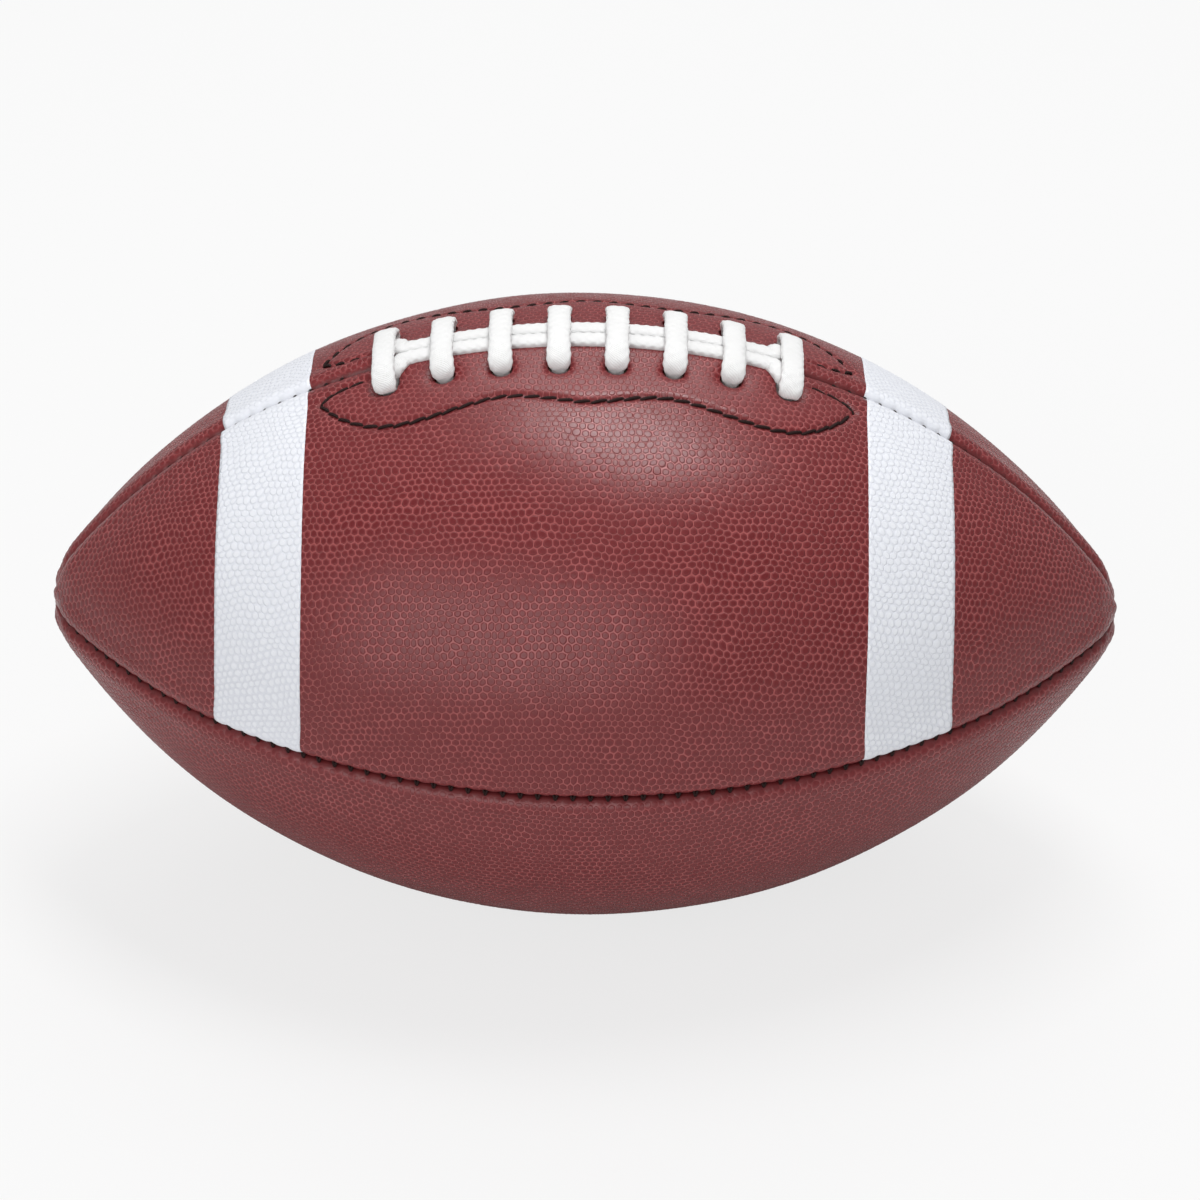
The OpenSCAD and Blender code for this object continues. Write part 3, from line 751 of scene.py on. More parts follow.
def paint_film(panel, name, first_row, last_row):
    film = copied(panel, name)
    mesh = film.data
    laid = np.empty(3 * len(mesh.vertices))
    mesh.attributes["laid_from"].data.foreach_get("vector", laid)
    row, column, layer = laid.reshape(-1, 3).T
    on_film = (row > first_row - row_slack) & (row < last_row + row_slack) & (layer > -0.5)
    on_film &= np.minimum(column, columns - column) > 1 - row_slack
    for face in mesh.polygons:
        face.select = not all(on_film[v] for v in face.vertices)
    pick(film)
    bpy.ops.object.mode_set(mode="EDIT")
    bpy.ops.mesh.select_mode(type="FACE")
    bpy.ops.mesh.delete(type="FACE")
    bpy.ops.object.mode_set(mode="OBJECT")
    points = corners(mesh)
    normals = np.empty(3 * len(mesh.vertices))
    mesh.vertices.foreach_get("normal", normals)
    set_corners(mesh, points + paint_clear * normals.reshape(-1, 3))
    return changed(film, "thickness", "SOLIDIFY", thickness=paint_t, offset=1)


stripes = {}
for side in lacing_sides:
    for end, first_row in (("left", row_marks[1]), ("right", row_marks[3])):
        name = side + "_" + end
        panel = panels[side + "_upper"]
        stripes[name] = paint_film(panel, "paint_" + name, first_row, first_row + stripe_rows)
        print(stripes[name].name, len(stripes[name].data.polygons), "faces")

# %% Punch the holes
for side, dir in lacing_sides.items():
    cut(panels[side + "_upper"], lace_punches(dir))
cut(panels["back_lower"], valve_punch())

# %% [markdown]
# ## Threads
#
# Waxed black thread sews the seams from inside and shows as a short tick at every stitch. The same
# thread draws the outline of the reinforcement in longer stitches. One stitch is modelled: a round
# thread that comes up out of the leather, lies on it and goes down again. It is then copied.

# %% Model one stitch
thread_d = 0.85 * MM
# Each ring of the stitch: place along it, height and thickness, in shares of its length and of the thread
stitch_rings = [
    (-0.56, -1.5, 0.7), (-0.5, -0.55, 0.9), (-0.38, 0.0, 1.0), (-0.13, 0.2, 1.05), (0.13, 0.2, 1.05),
    (0.38, 0.0, 1.0), (0.5, -0.55, 0.9), (0.56, -1.5, 0.7)]


def model_stitch():
    """A stitch of length 1 and thickness 1 along X."""
    bpy.ops.object.select_all(action="DESELECT")
    bpy.ops.mesh.primitive_circle_add(
        vertices=8, radius=0.5, fill_type="NGON", rotation=(0, math.pi / 2, 0))
    stitch = bpy.context.object
    bpy.ops.object.transform_apply(rotation=True)
    bpy.ops.object.mode_set(mode="EDIT")
    bpy.ops.mesh.select_all(action="SELECT")
    x, z, size = stitch_rings[0]
    bpy.ops.transform.resize(value=(1, size, size))
    bpy.ops.transform.translate(value=(x, 0, z))
    for x_next, z_next, size_next in stitch_rings[1:]:
        bpy.ops.mesh.extrude_region_move(TRANSFORM_OT_translate={"value": (x_next - x, 0, z_next - z)})
        grow = size_next / size
        bpy.ops.transform.resize(value=(1, grow, grow))
        x, z, size = x_next, z_next, size_next
    bpy.ops.mesh.select_all(action="SELECT")
    bpy.ops.mesh.normals_make_consistent(inside=False)
    bpy.ops.mesh.faces_shade_smooth()
    bpy.ops.object.mode_set(mode="OBJECT")
    return stitch


stitch_model = model_stitch()
print("One stitch has", len(stitch_model.data.polygons), "faces")


# %% Copy the stitch along a seam or an outline
stitch_slant = 0.5 * MM
# The outline's stitches on each side: how long they show, and how deep in shares of their thickness
outline_looks = {"front": (4.7 * MM, 0.35), "back": (2.8 * MM, 0.1)}
seam_stitch_reach = 1.3 * MM
seam_stitch_depth = 1.25 * MM
seam_stitch_opening = 0.6 * MM
# Near a nose a seam's stitch reaches out by at most this share of the distance from the axis
seam_stitch_limit = 0.08
seam_thread_d = thread_d * 0.75


def stitch_between(start, end, out, sink, thickness=thread_d):
    """A copy of the stitch from one point to another, pressed in by a share of its thickness."""
    run = Vector(end) - Vector(start)
    length = run.length
    x = run.normalized()
    z = (Vector(out) - Vector(out).dot(x) * x).normalized()
    y = z.cross(x)
    turn = Matrix((x, y, z)).transposed().to_4x4()
    size = Matrix.Diagonal((length, thickness, thickness, 1))
    middle = (Vector(start) + Vector(end)) / 2 - z * sink * thickness
    copy = copied(stitch_model, "stitch")
    copy.data.transform(Matrix.Translation(middle) @ turn @ size)
    return copy


def outwards(point):
    """Direction away from the long axis, leaning with the surface."""
    x = float(point[0])
    slope = math.asin(max(-1, min(1, x / arc_r)))
    angle = math.atan2(float(point[1]), float(point[2]) - ball_r)
    return Vector((math.sin(slope), math.cos(slope) * math.sin(angle), math.cos(slope) * math.cos(angle)))


def outline_stitches(dir, shown, sink):
    """Slanted stitches round one reinforcement, each as long as it shows."""
    made = []
    for line in sewn_lines:
        spots = [on_ball(line[:, 0], dir * line[:, 1] + slant, 0)
                 for slant in (-stitch_slant, stitch_slant)]
        marks = lengths_along(spots[0])
        for i in range(int(marks[-1] / facing_stitch)):
            start, end = [
                [float(np.interp(i * facing_stitch + d, marks, points[:, k])) for k in range(3)]
                for d, points in zip((0, shown), spots)]
            made.append(stitch_between(start, end, outwards(start), sink))
    return made


def seam_stitches(seam, start):
    """Stitches across a seam, down between the two rolled edges. Two threads meet in a V at each."""
    made = []
    depth = -seam_stitch_depth
    for run in np.arange(start, stitched_run, seam_stitch):
        for dir in (-1, 1):
            slope = float(slope_at(dir * run))
            wide = min(seam_stitch_reach, float(away(slope, 0)) * seam_stitch_limit)
            turn = math.copysign(wide / float(away(slope, depth)), seam)
            out = Vector(place(slope, seam, 1.0) - place(slope, seam, 0.0))
            for spread in (-seam_stitch_opening, seam_stitch_opening):
                start_point = place(slope, seam + turn, depth)
                end_point = place(slope_at(dir * run + spread), seam - turn, depth)
                made.append(stitch_between(start_point, end_point, out, 0.0, seam_thread_d))
    return made


threads = {}
for name, dir in lacing_sides.items():
    stitches = outline_stitches(dir, *outline_looks[name])
    threads["facing_thread_" + name] = joined(stitches, "outline_thread_" + name)
seams = {"top": top_seam, "front": front_seam, "back": back_seam, "bottom": bottom_seam}
for name, seam in seams.items():
    start = slit_length / 2 if name == "top" else seam_stitch / 2
    threads["seam_thread_" + name] = joined(seam_stitches(seam, start), "thread_" + name)
bpy.data.objects.remove(stitch_model, do_unlink=True)
print("Thread faces:", sum(len(thread.data.polygons) for thread in threads.values()))

# %% [markdown]
# ## The lace
#
# One flat plaited cord does all of the lacing. It runs twice along the seam and then zigzags through
# the eight pairs of holes. It is one tube along its whole way, as in the CAD model, whose points are
# repeated here: place along the ball, distance from the seam, height, turn of the flat side, width.

# %% Sizes of the lace
lace_w = 6.2 * MM
lace_t = 2.2 * MM
strand_w = 5.2 * MM
squeezed_w = 3.8 * MM
lace_gap = 0.6 * MM
facing_bottom = 4.8 * MM
inner_lace = facing_bottom + lace_gap / 2 + lace_t / 2
deep_lace = inner_lace + lace_t + 2 * lace_gap
strand_side = 2.6 * MM
strand_h = lace_t / 2 + 0.2 * MM
bar_h = strand_h + lace_t + lace_gap
hole_bottom = -facing_bottom - 0.5 * MM
# Half a bar: shares of the distance to the seam, of the height and of the width
bar_shares = [(1, -0.2, 0.68), (1.03, 0.15, 0.9), (0.97, 0.55, 1.03), (0.72, 0.9, 1), (0.36, 1.01, 0.95)]
end_loose = 1.12
# A strand out of its hole: shares of the pitch, of the side, of the height, of a quarter turn, of the
# width. The first height is the bottom of the hole.
rise_shares = [
    (0, 1, -1, 1, 0.84), (0.02, 1, -0.2, 1, 0.84), (0.07, 0.9, 0.8, 1, 0.95), (0.15, 0.66, 1, 0.8, 1.05),
    (0.24, 0.4, 1, 0.4, 1.12), (0.4, 0.31, 1, 0.08, 1)]
# The turn inside each end: shares of the pitch, of the side and of a half turn
right_turn_shares = [
    (0.08, 0.7, 0.1), (0.38, 0.45, 0.25), (0.5, 0, 0.5), (0.38, -0.45, 0.75), (0.08, -0.7, 0.9)]
left_turn_shares = [
    (0.08, 0.7, 0.1), (0.38, 0.45, 0.25), (0.55, 0, 0.5), (0.55, -0.9, 0.55), (0.34, -1.5, 0.52)]


# %% The way of the lace
def bar_way(x):
    """Over the leather from the near hole to the far hole. The first and the last bar are looser."""
    loose = end_loose if abs(x) > -first_x - MM else 1
    def half(side):
        return [(x, side * s * hole_row * (loose if h > 0 else 1), h * bar_h, 360, w * lace_w)
                for s, h, w in bar_shares]
    return ([(x, -hole_row, hole_bottom, 360, squeezed_w)] + half(-1) + [(x, 0, bar_h, 360, lace_w)]
            + half(1)[::-1] + [(x, hole_row, hole_bottom, 360, squeezed_w)])


def drop(x, side):
    return [(x, side, lace_t / 4 - deep_lace, 360, squeezed_w)]


def under_way(i):
    """Inside, from the far hole of one bar to the near hole of the next."""
    outermost = i in (0, crossbars - 2)
    deep = deep_lace if outermost else inner_lace
    side = hole_row * 0.8
    turn = bar_pitch * 0.1
    marks = [(bar_x[i] + turn, side), (bar_x[i] + bar_pitch / 2, 0), (bar_x[i + 1] - turn, -side)]
    way = [(x, away_from_seam, -deep, 360, strand_w) for x, away_from_seam in marks]
    return drop(bar_x[i], hole_row) + way + drop(bar_x[i + 1], -hole_row) if outermost else way


def strand_way(dir):
    """A long strand beside the seam, up out of one end hole and down into the other."""
    start = dir * (first_x + pass_x)
    turn = 90 if dir > 0 else 270
    rise = [(start + dir * bar_pitch * s, -dir * pass_side * t, hole_bottom if h == -1 else h * strand_h,
             turn + 90 * u, w * strand_w) for s, t, h, u, w in rise_shares]
    middle = [(dir * t * bar_pitch, -dir * strand_side, strand_h, turn, strand_w)
              for t in (-2, -1, 0, 1, 2)]
    return rise + middle + [(-x, side, h, 2 * turn - u, w) for x, side, h, u, w in rise[::-1]]


def turn_back(shares, dir, turn):
    return [(dir * (bar_pitch * s - first_x), -dir * t * pass_side, -inner_lace, turn + 180 * u, strand_w)
            for s, t, u in shares]


tail = bar_pitch * 0.45
lace_way = [(first_x + pass_x, -pass_side * t, -inner_lace, 180, strand_w) for t in (0.2, 0.6)]
lace_way += strand_way(1) + turn_back(right_turn_shares, 1, 90)
lace_way += strand_way(-1) + turn_back(left_turn_shares, -1, 270)
for i in range(crossbars):
    lace_way += bar_way(bar_x[i])
    if i < crossbars - 1:
        lace_way += under_way(i)
lace_way += drop(-first_x, hole_row)
lace_way += [(-first_x + tail * t, hole_row * (1 - 0.2 * t), -deep_lace, 360 + 72 * t, strand_w)
             for t in (0.4, 1)]
print("The way of the lace has", len(lace_way), "points")

# %% [markdown]
# The cord is a flat grid whose rows are laid along that way and whose columns close round it, with
# the plaits raised in the mesh. A curve with a bevel can't change its width alone, so the grid is
# laid in code, as the leather was.

# %% Lay the lace
lace_step = 0.5 * MM
lace_columns = 28
plaits_round = 10
plait_length = 2.6 * MM
plait_height = 0.17 * MM
plait_middle = 1.2
# A section between an ellipse, which is 2, and a box
fullness = 2.8


def lace_frames():
    """Middles, widths and directions of the lace at even steps."""
    way = smooth(lace_way, 8)
    middles = on_ball(way[:, 0], way[:, 1], way[:, 2])
    marks = lengths_along(middles)
    steps = np.linspace(0, marks[-1], int(marks[-1] / lace_step) + 1)
    way = np.stack([np.interp(steps, marks, way[:, k]) for k in range(5)], axis=1)
    middles = on_ball(way[:, 0], way[:, 1], way[:, 2])
    tangent = np.gradient(middles, axis=0)
    tangent /= np.linalg.norm(tangent, axis=1)[:, None]
    turn = np.radians(way[:, 3])
    flat_side = on_ball(way[:, 0] + MM * np.cos(turn), way[:, 1] + MM * np.sin(turn), way[:, 2]) - middles
    flat_side -= np.sum(flat_side * tangent, axis=1)[:, None] * tangent
    flat_side /= np.linalg.norm(flat_side, axis=1)[:, None]
    return middles, tangent, flat_side, way[:, 4], steps


def make_lace():
    middles, tangent, flat_side, width, steps = lace_frames()
    last = len(steps) - 1
    lace = add_grid("plaited_lace", last, lace_columns)
    row, column = grid_places(lace, last, lace_columns)
    round_share = column / lace_columns
    add_uv(lace.data, "cord", np.stack([steps[row], round_share], axis=-1))

    angle = 2 * math.pi * round_share
    wide, thick = [np.sign(part) * np.abs(part) ** (2 / fullness)
                   for part in (np.cos(angle), np.sin(angle))]
    right_hand, left_hand = [
        math.pi * (steps[row] / plait_length + hand * round_share * plaits_round / 2) for hand in (1, -1)]
    plait = plait_height * (np.abs(np.sin(right_hand)) + np.abs(np.sin(left_hand)) - plait_middle)
    side = flat_side[row]
    up = np.cross(tangent[row], side)
    half_w = width[row] / 2 + plait
    half_t = lace_t / 2 + plait
    points = middles[row] + side * (wide * half_w)[:, None] + up * (thick * half_t)[:, None]
    set_corners(lace.data, points)
    close_round(lace)
    bpy.ops.object.shade_smooth()
    print("The lace is", round(steps[-1], 3), "m long, with", len(lace.data.polygons), "faces")
    return lace


lace = make_lace()

# %% [markdown]
# ## The layers inside
#
# Under each panel lies a lining of woven cloth, cut like the panel but short of its seams. Behind the
# lace holes a suede reinforcement is sewn to each upper panel, a tongue keeps the lace off the
# bladder, and the rubber bladder fills the rest. Each is a flat grid that is laid inside the ball.

# %% Sizes of the layers
lining_top = 2.75 * MM
lining_t = 0.7 * MM
lining_rim = 2.9 * MM
lining_end = 7 * MM
lining_grid = (97, 33)
lining_ripple = 0.05 * MM
ripple_run = 3 * MM
ripples_round = 40
facing_top = 3.65 * MM
facing_t = 1.1 * MM
facing_margin = 3 * MM
facing_grid = (75, 15)
tongue_top = 10.9 * MM
tongue_t = 1.2 * MM
tongue_length = 130 * MM
tongue_w = 36 * MM
tongue_grid = (53, 15)
bladder_top = 4.1 * MM
bladder_t = 0.9 * MM
bladder_end = 4 * MM
bladder_rows = 121
bladder_columns = 48
crease_depth = 6.7 * MM
recess_depth = 5.0 * MM
pocket_depth = 12.45 * MM
# Where each begins to rise and where it ends, from the middle, and for a crease from its seam
recess_ends = (76 * MM, 80 * MM)
recess_sides = (33.5 * MM, 37 * MM)
pocket_ends = (66 * MM, 71 * MM)
pocket_sides = (20 * MM, 24.5 * MM)
crease_sides = (2.2 * MM, 5 * MM)


# %% Lay a layer inside the ball
def laid_layer(name, run, angle, depth):
    """A grid with one row for each length along the ball, at its angles and depths."""
    run, angle, depth = np.broadcast_arrays(np.asarray(run)[:, None], angle, depth)
    slope = slope_at(run)
    last_row, last_column = run.shape[0] - 1, run.shape[1] - 1
    layer = add_grid(name, last_row, last_column)
    row, column = grid_places(layer, last_row, last_column)
    from_middle = (angle - angle.mean(axis=1)[:, None]) * away(slope, -depth)
    add_uv(layer.data, "weave", np.stack([run[row, column], from_middle[row, column]], axis=-1))
    set_corners(layer.data, place(slope, angle, -depth)[row, column])
    return layer


def thickened(layer, thickness):
    """The layer with its thickness, which grows inwards."""
    changed(layer, "thickness", "SOLIDIFY", thickness=thickness, offset=-1)
    bpy.ops.object.shade_smooth_by_angle(angle=math.radians(40))
    return layer


# %% Linings
def lay_lining(name, first, second):
    """A lining of woven cloth, laid under its panel and short of its seams and noses."""
    run = np.linspace(lining_end - quarter, quarter - lining_end, lining_grid[0])
    reach = away(slope_at(run), -lining_top)
    rim = np.arcsin(lining_rim / reach)
    span = second - first - 2 * rim
    angle = (first + rim)[:, None] + span[:, None] * np.linspace(0, 1, lining_grid[1])
    ripple = lining_ripple * np.sin(angle * ripples_round) * np.sin(run / ripple_run)[:, None]
    lining = thickened(laid_layer("cloth_" + name, run, angle, lining_top + ripple), lining_t)
    return lining


linings = {name: lay_lining(name, first, second) for name, (first, second) in panel_seams.items()}


# %% Reinforcements and tongue
def lay_facing(name, dir):
    """A reinforcement, cut a little outside its stitches and short of the seam."""
    half = facing_length / 2 + facing_margin
    x = np.linspace(-half, half, facing_grid[0])
    stretch = half / (facing_length / 2)
    outside = np.interp(x, outer_edge[:, 0] * stretch, outer_edge[:, 1] + facing_margin)
    inside = np.interp(np.abs(x), [facing_length / 2, half], [lining_rim, outside[0] - MM])
    share = np.linspace(0, 1, facing_grid[1])
    side = inside[:, None] + (outside - inside)[:, None] * (share if dir > 0 else share[::-1])
    return thickened(laid_layer(name, run_at(x), dir * side / ball_r, facing_top), facing_t)


def lay_tongue():
    x = np.linspace(-0.5, 0.5, tongue_grid[0]) * tongue_length
    side = np.linspace(-0.5, 0.5, tongue_grid[1]) * tongue_w
    return thickened(laid_layer("suede_tongue", run_at(x), side / ball_r, tongue_top), tongue_t)


facings = {name: lay_facing("suede_" + name, dir) for name, dir in lacing_sides.items()}
tongue = lay_tongue()
for name, dir in lacing_sides.items():
    cut(linings[name + "_upper"], lace_punches(dir))
    cut(facings[name], lace_punches(dir))
cut(linings["back_lower"], valve_punch())


# %% Bladder
def bladder_depth(run, angle):
    """Pressed against the linings, with a recess for the reinforcements, a pocket for the tongue and the
    lace, and a crease over the turned edges at each seam."""
    slope = slope_at(run)
    x = np.abs(along(slope, 0))
    side = np.abs(angle) * ball_r
    recess = np.interp(x, recess_ends, (1, 0)) * np.interp(side, recess_sides, (1, 0))
    pocket = np.interp(x, pocket_ends, (1, 0)) * np.interp(side, pocket_sides, (1, 0))
    deeper = np.maximum((recess_depth - bladder_top) * recess, (pocket_depth - bladder_top) * pocket)
    depth = bladder_top + deeper
    for seam in seams.values():
        from_seam = np.abs(away(slope, 0) * np.sin(angle - seam))
        crease = np.interp(from_seam, crease_sides, (1, 0)) * (np.cos(angle - seam) > 0)
        depth = np.maximum(depth, bladder_top + (crease_depth - bladder_top) * crease)
    return depth


def lay_bladder():
    run = np.linspace(bladder_end - quarter, quarter - bladder_end, bladder_rows)
    around = [-bottom_seam, front_seam, top_seam, back_seam, bottom_seam]
    parts = [np.linspace(first, second, bladder_columns, endpoint=False)
             for first, second in zip(around[:-1], around[1:])]
    angle = np.concatenate(parts + [[bottom_seam]])
    bladder = laid_layer("rubber_bladder", run, angle, bladder_depth(run[:, None], angle))
    return thickened(close_round(bladder), bladder_t)


bladder = lay_bladder()
cut(bladder, valve_punch())
print("The bladder has", len(bladder.data.polygons), "faces")

# %% [markdown]
# ## Leather
#
# A football's hide is dyed red brown. The dye is dark on the pebbles and paler in the furrows, and a
# thin finish makes the tops shine softly. The pebble pattern is a node group, so that leather and
# paint show the same grain, each with its own colours.


# %% The grain as a shader group
def make_grain_group():
    tree = bpy.data.node_groups.new("pebble grain", "ShaderNodeTree")
    for title in ("Furrow", "Crack", "Shoulder", "Height", "Tone", "Cloud", "Seam Shade And Stain"):
        tree.interface.new_socket(title, in_out="OUTPUT", socket_type="NodeSocketFloat")
    hide = add_node(tree, "ShaderNodeUVMap", uv_map="hide").outputs["UV"]
    grained = add_node(tree, "ShaderNodeAttribute", attribute_name="grained").outputs["Fac"]
    # This attribute carries painted shade of the seam valleys, partly stain
    seam_shade_and_stain = add_node(tree, "ShaderNodeAttribute", attribute_name="seam_shade_and_stain").outputs["Fac"]
    to_edge, to_middle = pebble_cells(tree, hide)
    dome = number_step(tree, "MULTIPLY", pebble_dome(tree, to_middle), grained)
    # The dye is darkest in a round spot on each pebble and palest in a thin line between them
    furrow = eased(tree, to_middle, 0.24, 0.4, 0.0, 1.0)
    crack = eased(tree, to_edge, 0.0, 0.08, 1.0, 0.0)
    # The steep shoulder of a pebble is dull and makes a thin dark ring where the light shines; the leather
    # also paints it darker, a painted shade of the flank
    climb = eased(tree, to_middle, 0.33, 0.39, 0.0, 1.0)
    shoulder = number_step(tree, "MULTIPLY", climb, eased(tree, to_middle, 0.4, 0.47, 1.0, 0.0))
    # The pattern is faint in some clouds of the hide and crisp in others
    clouds = noise(tree, hide, 38.0, 3.0)
    crisp = number_step(tree, "MULTIPLY", eased(tree, clouds, 0.35, 0.65, 0.6, 1.0), grained)
    faded = add_node(tree, "ShaderNodeMix", {"Factor": crisp, "A": 0.5, "B": furrow})
    pores = noise(tree, hide, 2600.0, 3.0)
    add_node(tree, "NodeGroupOutput", {
        "Furrow": faded.outputs["Result"],
        "Crack": number_step(tree, "MULTIPLY", crack, grained),
        "Shoulder": number_step(tree, "MULTIPLY", shoulder, grained),
        "Height": number_step(tree, "MULTIPLY_ADD", pores, 0.12, dome),
        "Tone": noise(tree, hide, 700.0, 2.0),
        "Cloud": clouds,
        "Seam Shade And Stain": seam_shade_and_stain})
    return tree


grain_group = make_grain_group()


# %% Helpers for materials
def srgb(red, green, blue):
    """A colour as read off a screen, in linear values."""
    def linear(value):
        share = value / 255
        return share / 12.92 if share <= 0.04045 else ((share + 0.055) / 1.055) ** 2.4
    return (linear(red), linear(green), linear(blue), 1.0)


def new_material(name):
    material = bpy.data.materials.new(name)
    material.use_nodes = True
    return material, material.node_tree


def surfaced(material, colour, roughness, height, distance, more=None):
    """The material with its colour, roughness and bump, and more of the shader's values. Each may be a
    socket to link."""
    tree = material.node_tree
    bump = add_node(tree, "ShaderNodeBump", {"Height": height, "Distance": distance})
    values = {"Base Color": colour, "Roughness": roughness, "Normal": bump.outputs["Normal"]}
    fill(tree, tree.nodes["Principled BSDF"], {**values, **(more or {})})
    return material


def add_grain(tree):
    """The pebble grain's sockets by their names."""
    return add_node(tree, "ShaderNodeGroup", node_tree=grain_group).outputs


def bands(tree, vector, scale, way, distortion=0.0, detail=0.0):
    values = {"Vector": vector, "Scale": scale, "Distortion": distortion, "Detail": detail}
    return add_node(tree, "ShaderNodeTexWave", values, bands_direction=way).outputs["Fac"]


def object_place(tree):
    return tree.nodes.new("ShaderNodeTexCoord").outputs["Object"]


def wear(piece, material):
    """Gives a piece one material."""
    piece.data.materials.clear()
    piece.data.materials.append(material)


def take_place(piece, material, node_name):
    """Dresses a piece and puts it in the place of a CAD node."""
    wear(piece, material)
    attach(piece, "root")
    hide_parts(node_name)


# %% Leather
def make_leather():
    material, tree = new_material("pebbled_leather")
    grain = add_grain(tree)
    top = mixed(tree, grain["Cloud"], srgb(94, 18, 23), srgb(110, 26, 30))
    furrow = mixed(tree, grain["Cloud"], srgb(136, 54, 56), srgb(150, 62, 64))
    dyed = mixed(tree, grain["Furrow"], top, furrow)
    crack = ranged(tree, grain["Crack"], 0, 1, 0.0, 0.5)
    cracked = mixed(tree, crack, dyed, srgb(184, 112, 108))
    speckle = ranged(tree, grain["Tone"], 0.35, 0.65, 0.0, 0.2)
    speckled = mixed(tree, speckle, cracked, srgb(92, 30, 34))
    # The shoulder of each pebble is painted darker, painted shade of its steep flank
    ring = ranged(tree, grain["Shoulder"], 0, 1, 0.0, 0.3)
    shoulder_shaded = mixed(tree, ring, speckled, srgb(84, 20, 25))
    # Painted shade darkens the leather in the seam valleys, partly as stain
    seam_shade_and_stain = mixed(tree, grain["Seam Shade And Stain"], shoulder_shaded, srgb(46, 20, 20))
    roughness = ranged(tree, grain["Shoulder"], 0, 1, 0.3, 0.85)
    return surfaced(
        material, seam_shade_and_stain, roughness, grain["Height"], 0.32 * MM, {"Specular IOR Level": 0.48})


leather = make_leather()
for name, panel in panels.items():
    take_place(panel, leather, "panel_" + name)


# %% Stripe paint
def make_paint():
    material, tree = new_material("stripe_paint")
    grain = add_grain(tree)
    worn = mixed(tree, grain["Cloud"], srgb(228, 230, 236), srgb(235, 237, 242))
    lined = mixed(tree, ranged(tree, grain["Furrow"], 0, 1, 0, 0.4), worn, srgb(204, 207, 218))
    roughness = ranged(tree, grain["Furrow"], 0, 1, 0.42, 0.6)
    return surfaced(material, lined, roughness, grain["Height"], 0.1 * MM)


paint = make_paint()
for name, film in stripes.items():
    take_place(film, paint, "stripe_" + name)


# %% [markdown]
# ## Thread, lace, cloth and rubber
#
# The thread is waxed, twisted and nearly black. The lace is white, with its plaits modelled and its
# yarns as bump. Inside are woven lining cloth, suede reinforcements and black rubber.

# %% Thread
def make_thread():
    material, tree = new_material("waxed_thread")
    twist = bands(tree, object_place(tree), 900.0, "DIAGONAL", 1.5, 1.0)
    colour = mixed(tree, twist, srgb(24, 12, 12), srgb(52, 34, 32))
    roughness = ranged(tree, twist, 0, 1, 0.6, 0.75)
    return surfaced(material, colour, roughness, twist, 0.08 * MM, {"Specular IOR Level": 0.15})


thread_material = make_thread()
for node_name, thread in threads.items():
    take_place(thread, thread_material, node_name)


# %% Lace
def make_lace_material():
    material, tree = new_material("white_lace")
    cord = add_node(tree, "ShaderNodeUVMap", uv_map="cord").outputs["UV"]
    spread = vector_step(tree, "MULTIPLY", cord, (1 / (0.42 * MM), 34.0, 1.0))[0]
    yarn = bands(tree, spread, 0.5, "DIAGONAL", 2.5, 2.0)
    where = object_place(tree)
    fluff = noise(tree, where, 2200.0, 4.0)
    soil = noise(tree, where, 90.0, 3.0)
    clean = mixed(tree, soil, srgb(229, 229, 228), srgb(238, 238, 238))
    colour = mixed(tree, ranged(tree, yarn, 0, 0.5, 0.35, 0), clean, srgb(214, 214, 216))
    roughness = ranged(tree, fluff, 0.3, 0.7, 0.7, 0.9)
    relief = number_step(tree, "ADD", yarn, fluff)
    more = {"Specular IOR Level": 0.3, "Sheen Weight": 0.2}
    return surfaced(material, colour, roughness, relief, 0.07 * MM, more)


take_place(lace, make_lace_material(), "lace")


# %% Cloth, suede and rubber inside
def make_cloth():
    material, tree = new_material("lining_cloth")
    weave_map = add_node(tree, "ShaderNodeUVMap", uv_map="weave").outputs["UV"]
    weave = number_step(tree, "MAXIMUM", *[bands(tree, weave_map, 300.0, way) for way in ("X", "Y")])
    colour = mixed(tree, weave, srgb(176, 168, 148), srgb(218, 210, 192))
    return surfaced(material, colour, 0.85, weave, 0.15 * MM)


def make_suede():
    material, tree = new_material("suede")
    where = object_place(tree)
    nap = noise(tree, where, 1800.0, 5.0)
    cloud = noise(tree, where, 60.0, 3.0)
    tone = mixed(tree, cloud, srgb(164, 128, 96), srgb(196, 162, 126))
    colour = mixed(tree, ranged(tree, nap, 0.4, 0.7, 0, 0.4), tone, srgb(140, 106, 78))
    return surfaced(material, colour, 0.92, nap, 0.12 * MM)


def make_rubber(name, dark, light):
    material, tree = new_material(name)
    where = object_place(tree)
    dust = noise(tree, where, 120.0, 4.0)
    skin = noise(tree, where, 1500.0, 2.0)
    roughness = ranged(tree, dust, 0.3, 0.7, 0.45, 0.65)
    return surfaced(material, mixed(tree, dust, dark, light), roughness, skin, 0.05 * MM)


cloth = make_cloth()
for name, lining in linings.items():
    take_place(lining, cloth, "lining_" + name)
suede = make_suede()
for name, facing in facings.items():
    take_place(facing, suede, "facing_" + name)
take_place(tongue, suede, "tongue")
bladder_rubber = make_rubber("bladder_rubber", srgb(26, 26, 28), srgb(46, 45, 46))
take_place(bladder, bladder_rubber, "bladder")

# The valve is moulded hard rubber, so its CAD nodes show as they are
valve_rubber = make_rubber("valve_rubber", srgb(20, 20, 21), srgb(40, 39, 40))
for name in ("valve_housing", "valve_core"):
    wear(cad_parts[name], valve_rubber)

# %% [markdown]
# ## Floor, light and camera
#
# The ball lies on a pale floor in the light of three large soft lamps, as in a catalogue picture. The
# floor shows nearly white to the camera and still takes the ball's shadow.


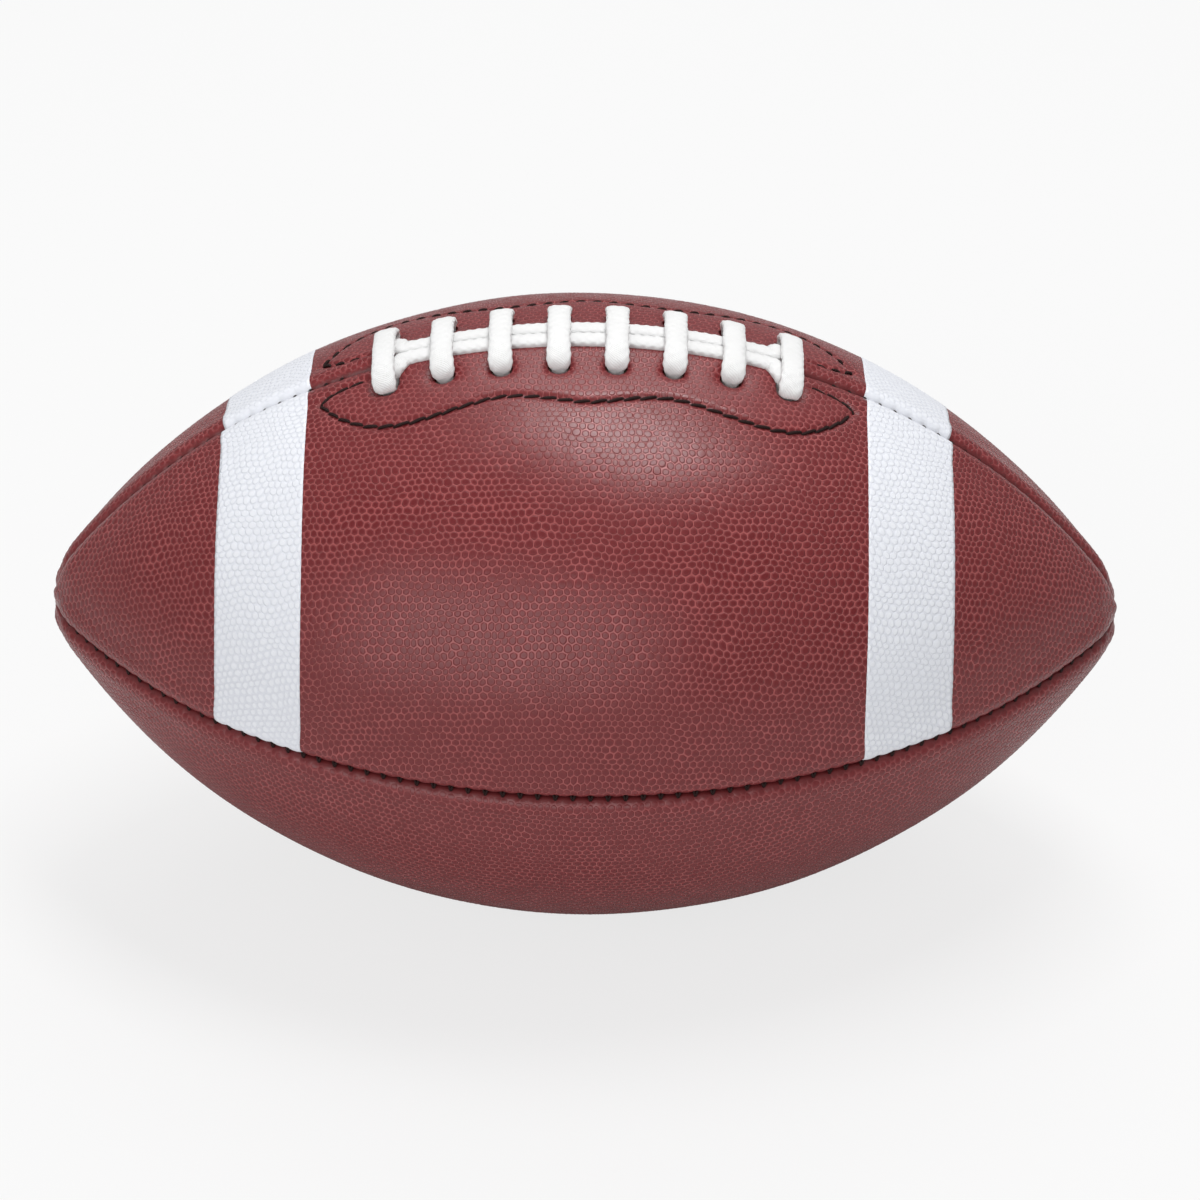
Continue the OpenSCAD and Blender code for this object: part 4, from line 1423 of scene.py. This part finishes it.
# %% Floor
def make_floor():
    bpy.ops.object.select_all(action="DESELECT")
    bpy.ops.mesh.primitive_plane_add(size=12)
    floor = bpy.context.object
    floor.name = "floor"
    material, tree = new_material("floor")
    shader = tree.nodes["Principled BSDF"]
    fill(tree, shader, {"Base Color": (0.74, 0.74, 0.74, 1), "Roughness": 0.9, "Specular IOR Level": 0.1})
    white = add_node(tree, "ShaderNodeEmission", {"Color": (1, 1, 1, 1), "Strength": 1.0})
    path = tree.nodes.new("ShaderNodeLightPath")
    share = number_step(tree, "MULTIPLY", path.outputs["Is Camera Ray"], 0.75)
    blend = add_node(tree, "ShaderNodeMixShader", {0: share, 1: shader.outputs[0], 2: white.outputs[0]})
    link(tree, blend.outputs[0], tree.nodes["Material Output"].inputs["Surface"])
    floor.data.materials.append(material)


make_floor()


# %% World and lamps
def make_world(strength):
    world = bpy.data.worlds.new("studio")
    bpy.context.scene.world = world
    world.use_nodes = True
    tree = world.node_tree
    background = tree.nodes["Background"]
    background.inputs["Color"].default_value = (1, 1, 1, 1)
    path = tree.nodes.new("ShaderNodeLightPath")
    shown = number_step(
        tree, "MAXIMUM", path.outputs["Is Camera Ray"], path.outputs["Is Transmission Ray"])
    link(tree, ranged(tree, shown, 0, 1, strength, 1.0), background.inputs["Strength"])


def soft_light(name, place_at, size, power):
    """A large lamp that looks at the middle of the ball."""
    data = bpy.data.lights.new(name, "AREA")
    data.shape = "RECTANGLE"
    data.size, data.size_y = size
    data.energy = power
    lamp = bpy.data.objects.new(name, data)
    bpy.context.collection.objects.link(lamp)
    lamp.location = place_at
    to_ball = Vector((0, 0, ball_r)) - lamp.location
    lamp.rotation_euler = to_ball.to_track_quat("-Z", "Y").to_euler()


make_world(0.36)
soft_light("overhead", (0.12, 0.12, 1.3), (0.7, 0.4), 9.0)
soft_light("behind", (0.05, 0.8, 1.2), (0.9, 0.6), 4.5)
soft_light("front", (-0.5, -1.6, 0.75), (1.9, 1.3), 15)

# %% Camera
# The ball's middle sits a little left of and below the middle of the picture, and its right end hangs
camera_distance = 1.5
camera_height_angle = math.radians(34)
camera_roll = math.radians(0.8)
aim_right = 4.06 * MM
aim_up = 0.95 * MM


def make_camera():
    data = bpy.data.cameras.new("camera")
    camera = bpy.data.objects.new("camera", data)
    bpy.context.collection.objects.link(camera)
    data.lens = 166
    data.sensor_width = 36
    data.clip_start = 0.05
    view = Vector((0, math.cos(camera_height_angle), -math.sin(camera_height_angle)))
    turn = view.to_track_quat("-Z", "Y").to_matrix() @ Matrix.Rotation(camera_roll, 3, "Z")
    right = turn @ Vector((1, 0, 0))
    up = turn @ Vector((0, 1, 0))
    aim = Vector((0, 0, ball_r)) + right * aim_right + up * aim_up
    camera.matrix_world = Matrix.Translation(aim - view * camera_distance) @ turn.to_4x4()
    bpy.context.scene.camera = camera


make_camera()
bpy.context.scene.view_settings.view_transform = "Standard"

# %% Tidy and finish
for piece in list(panels.values()) + list(stripes.values()):
    piece.data.attributes.remove(piece.data.attributes["laid_from"])
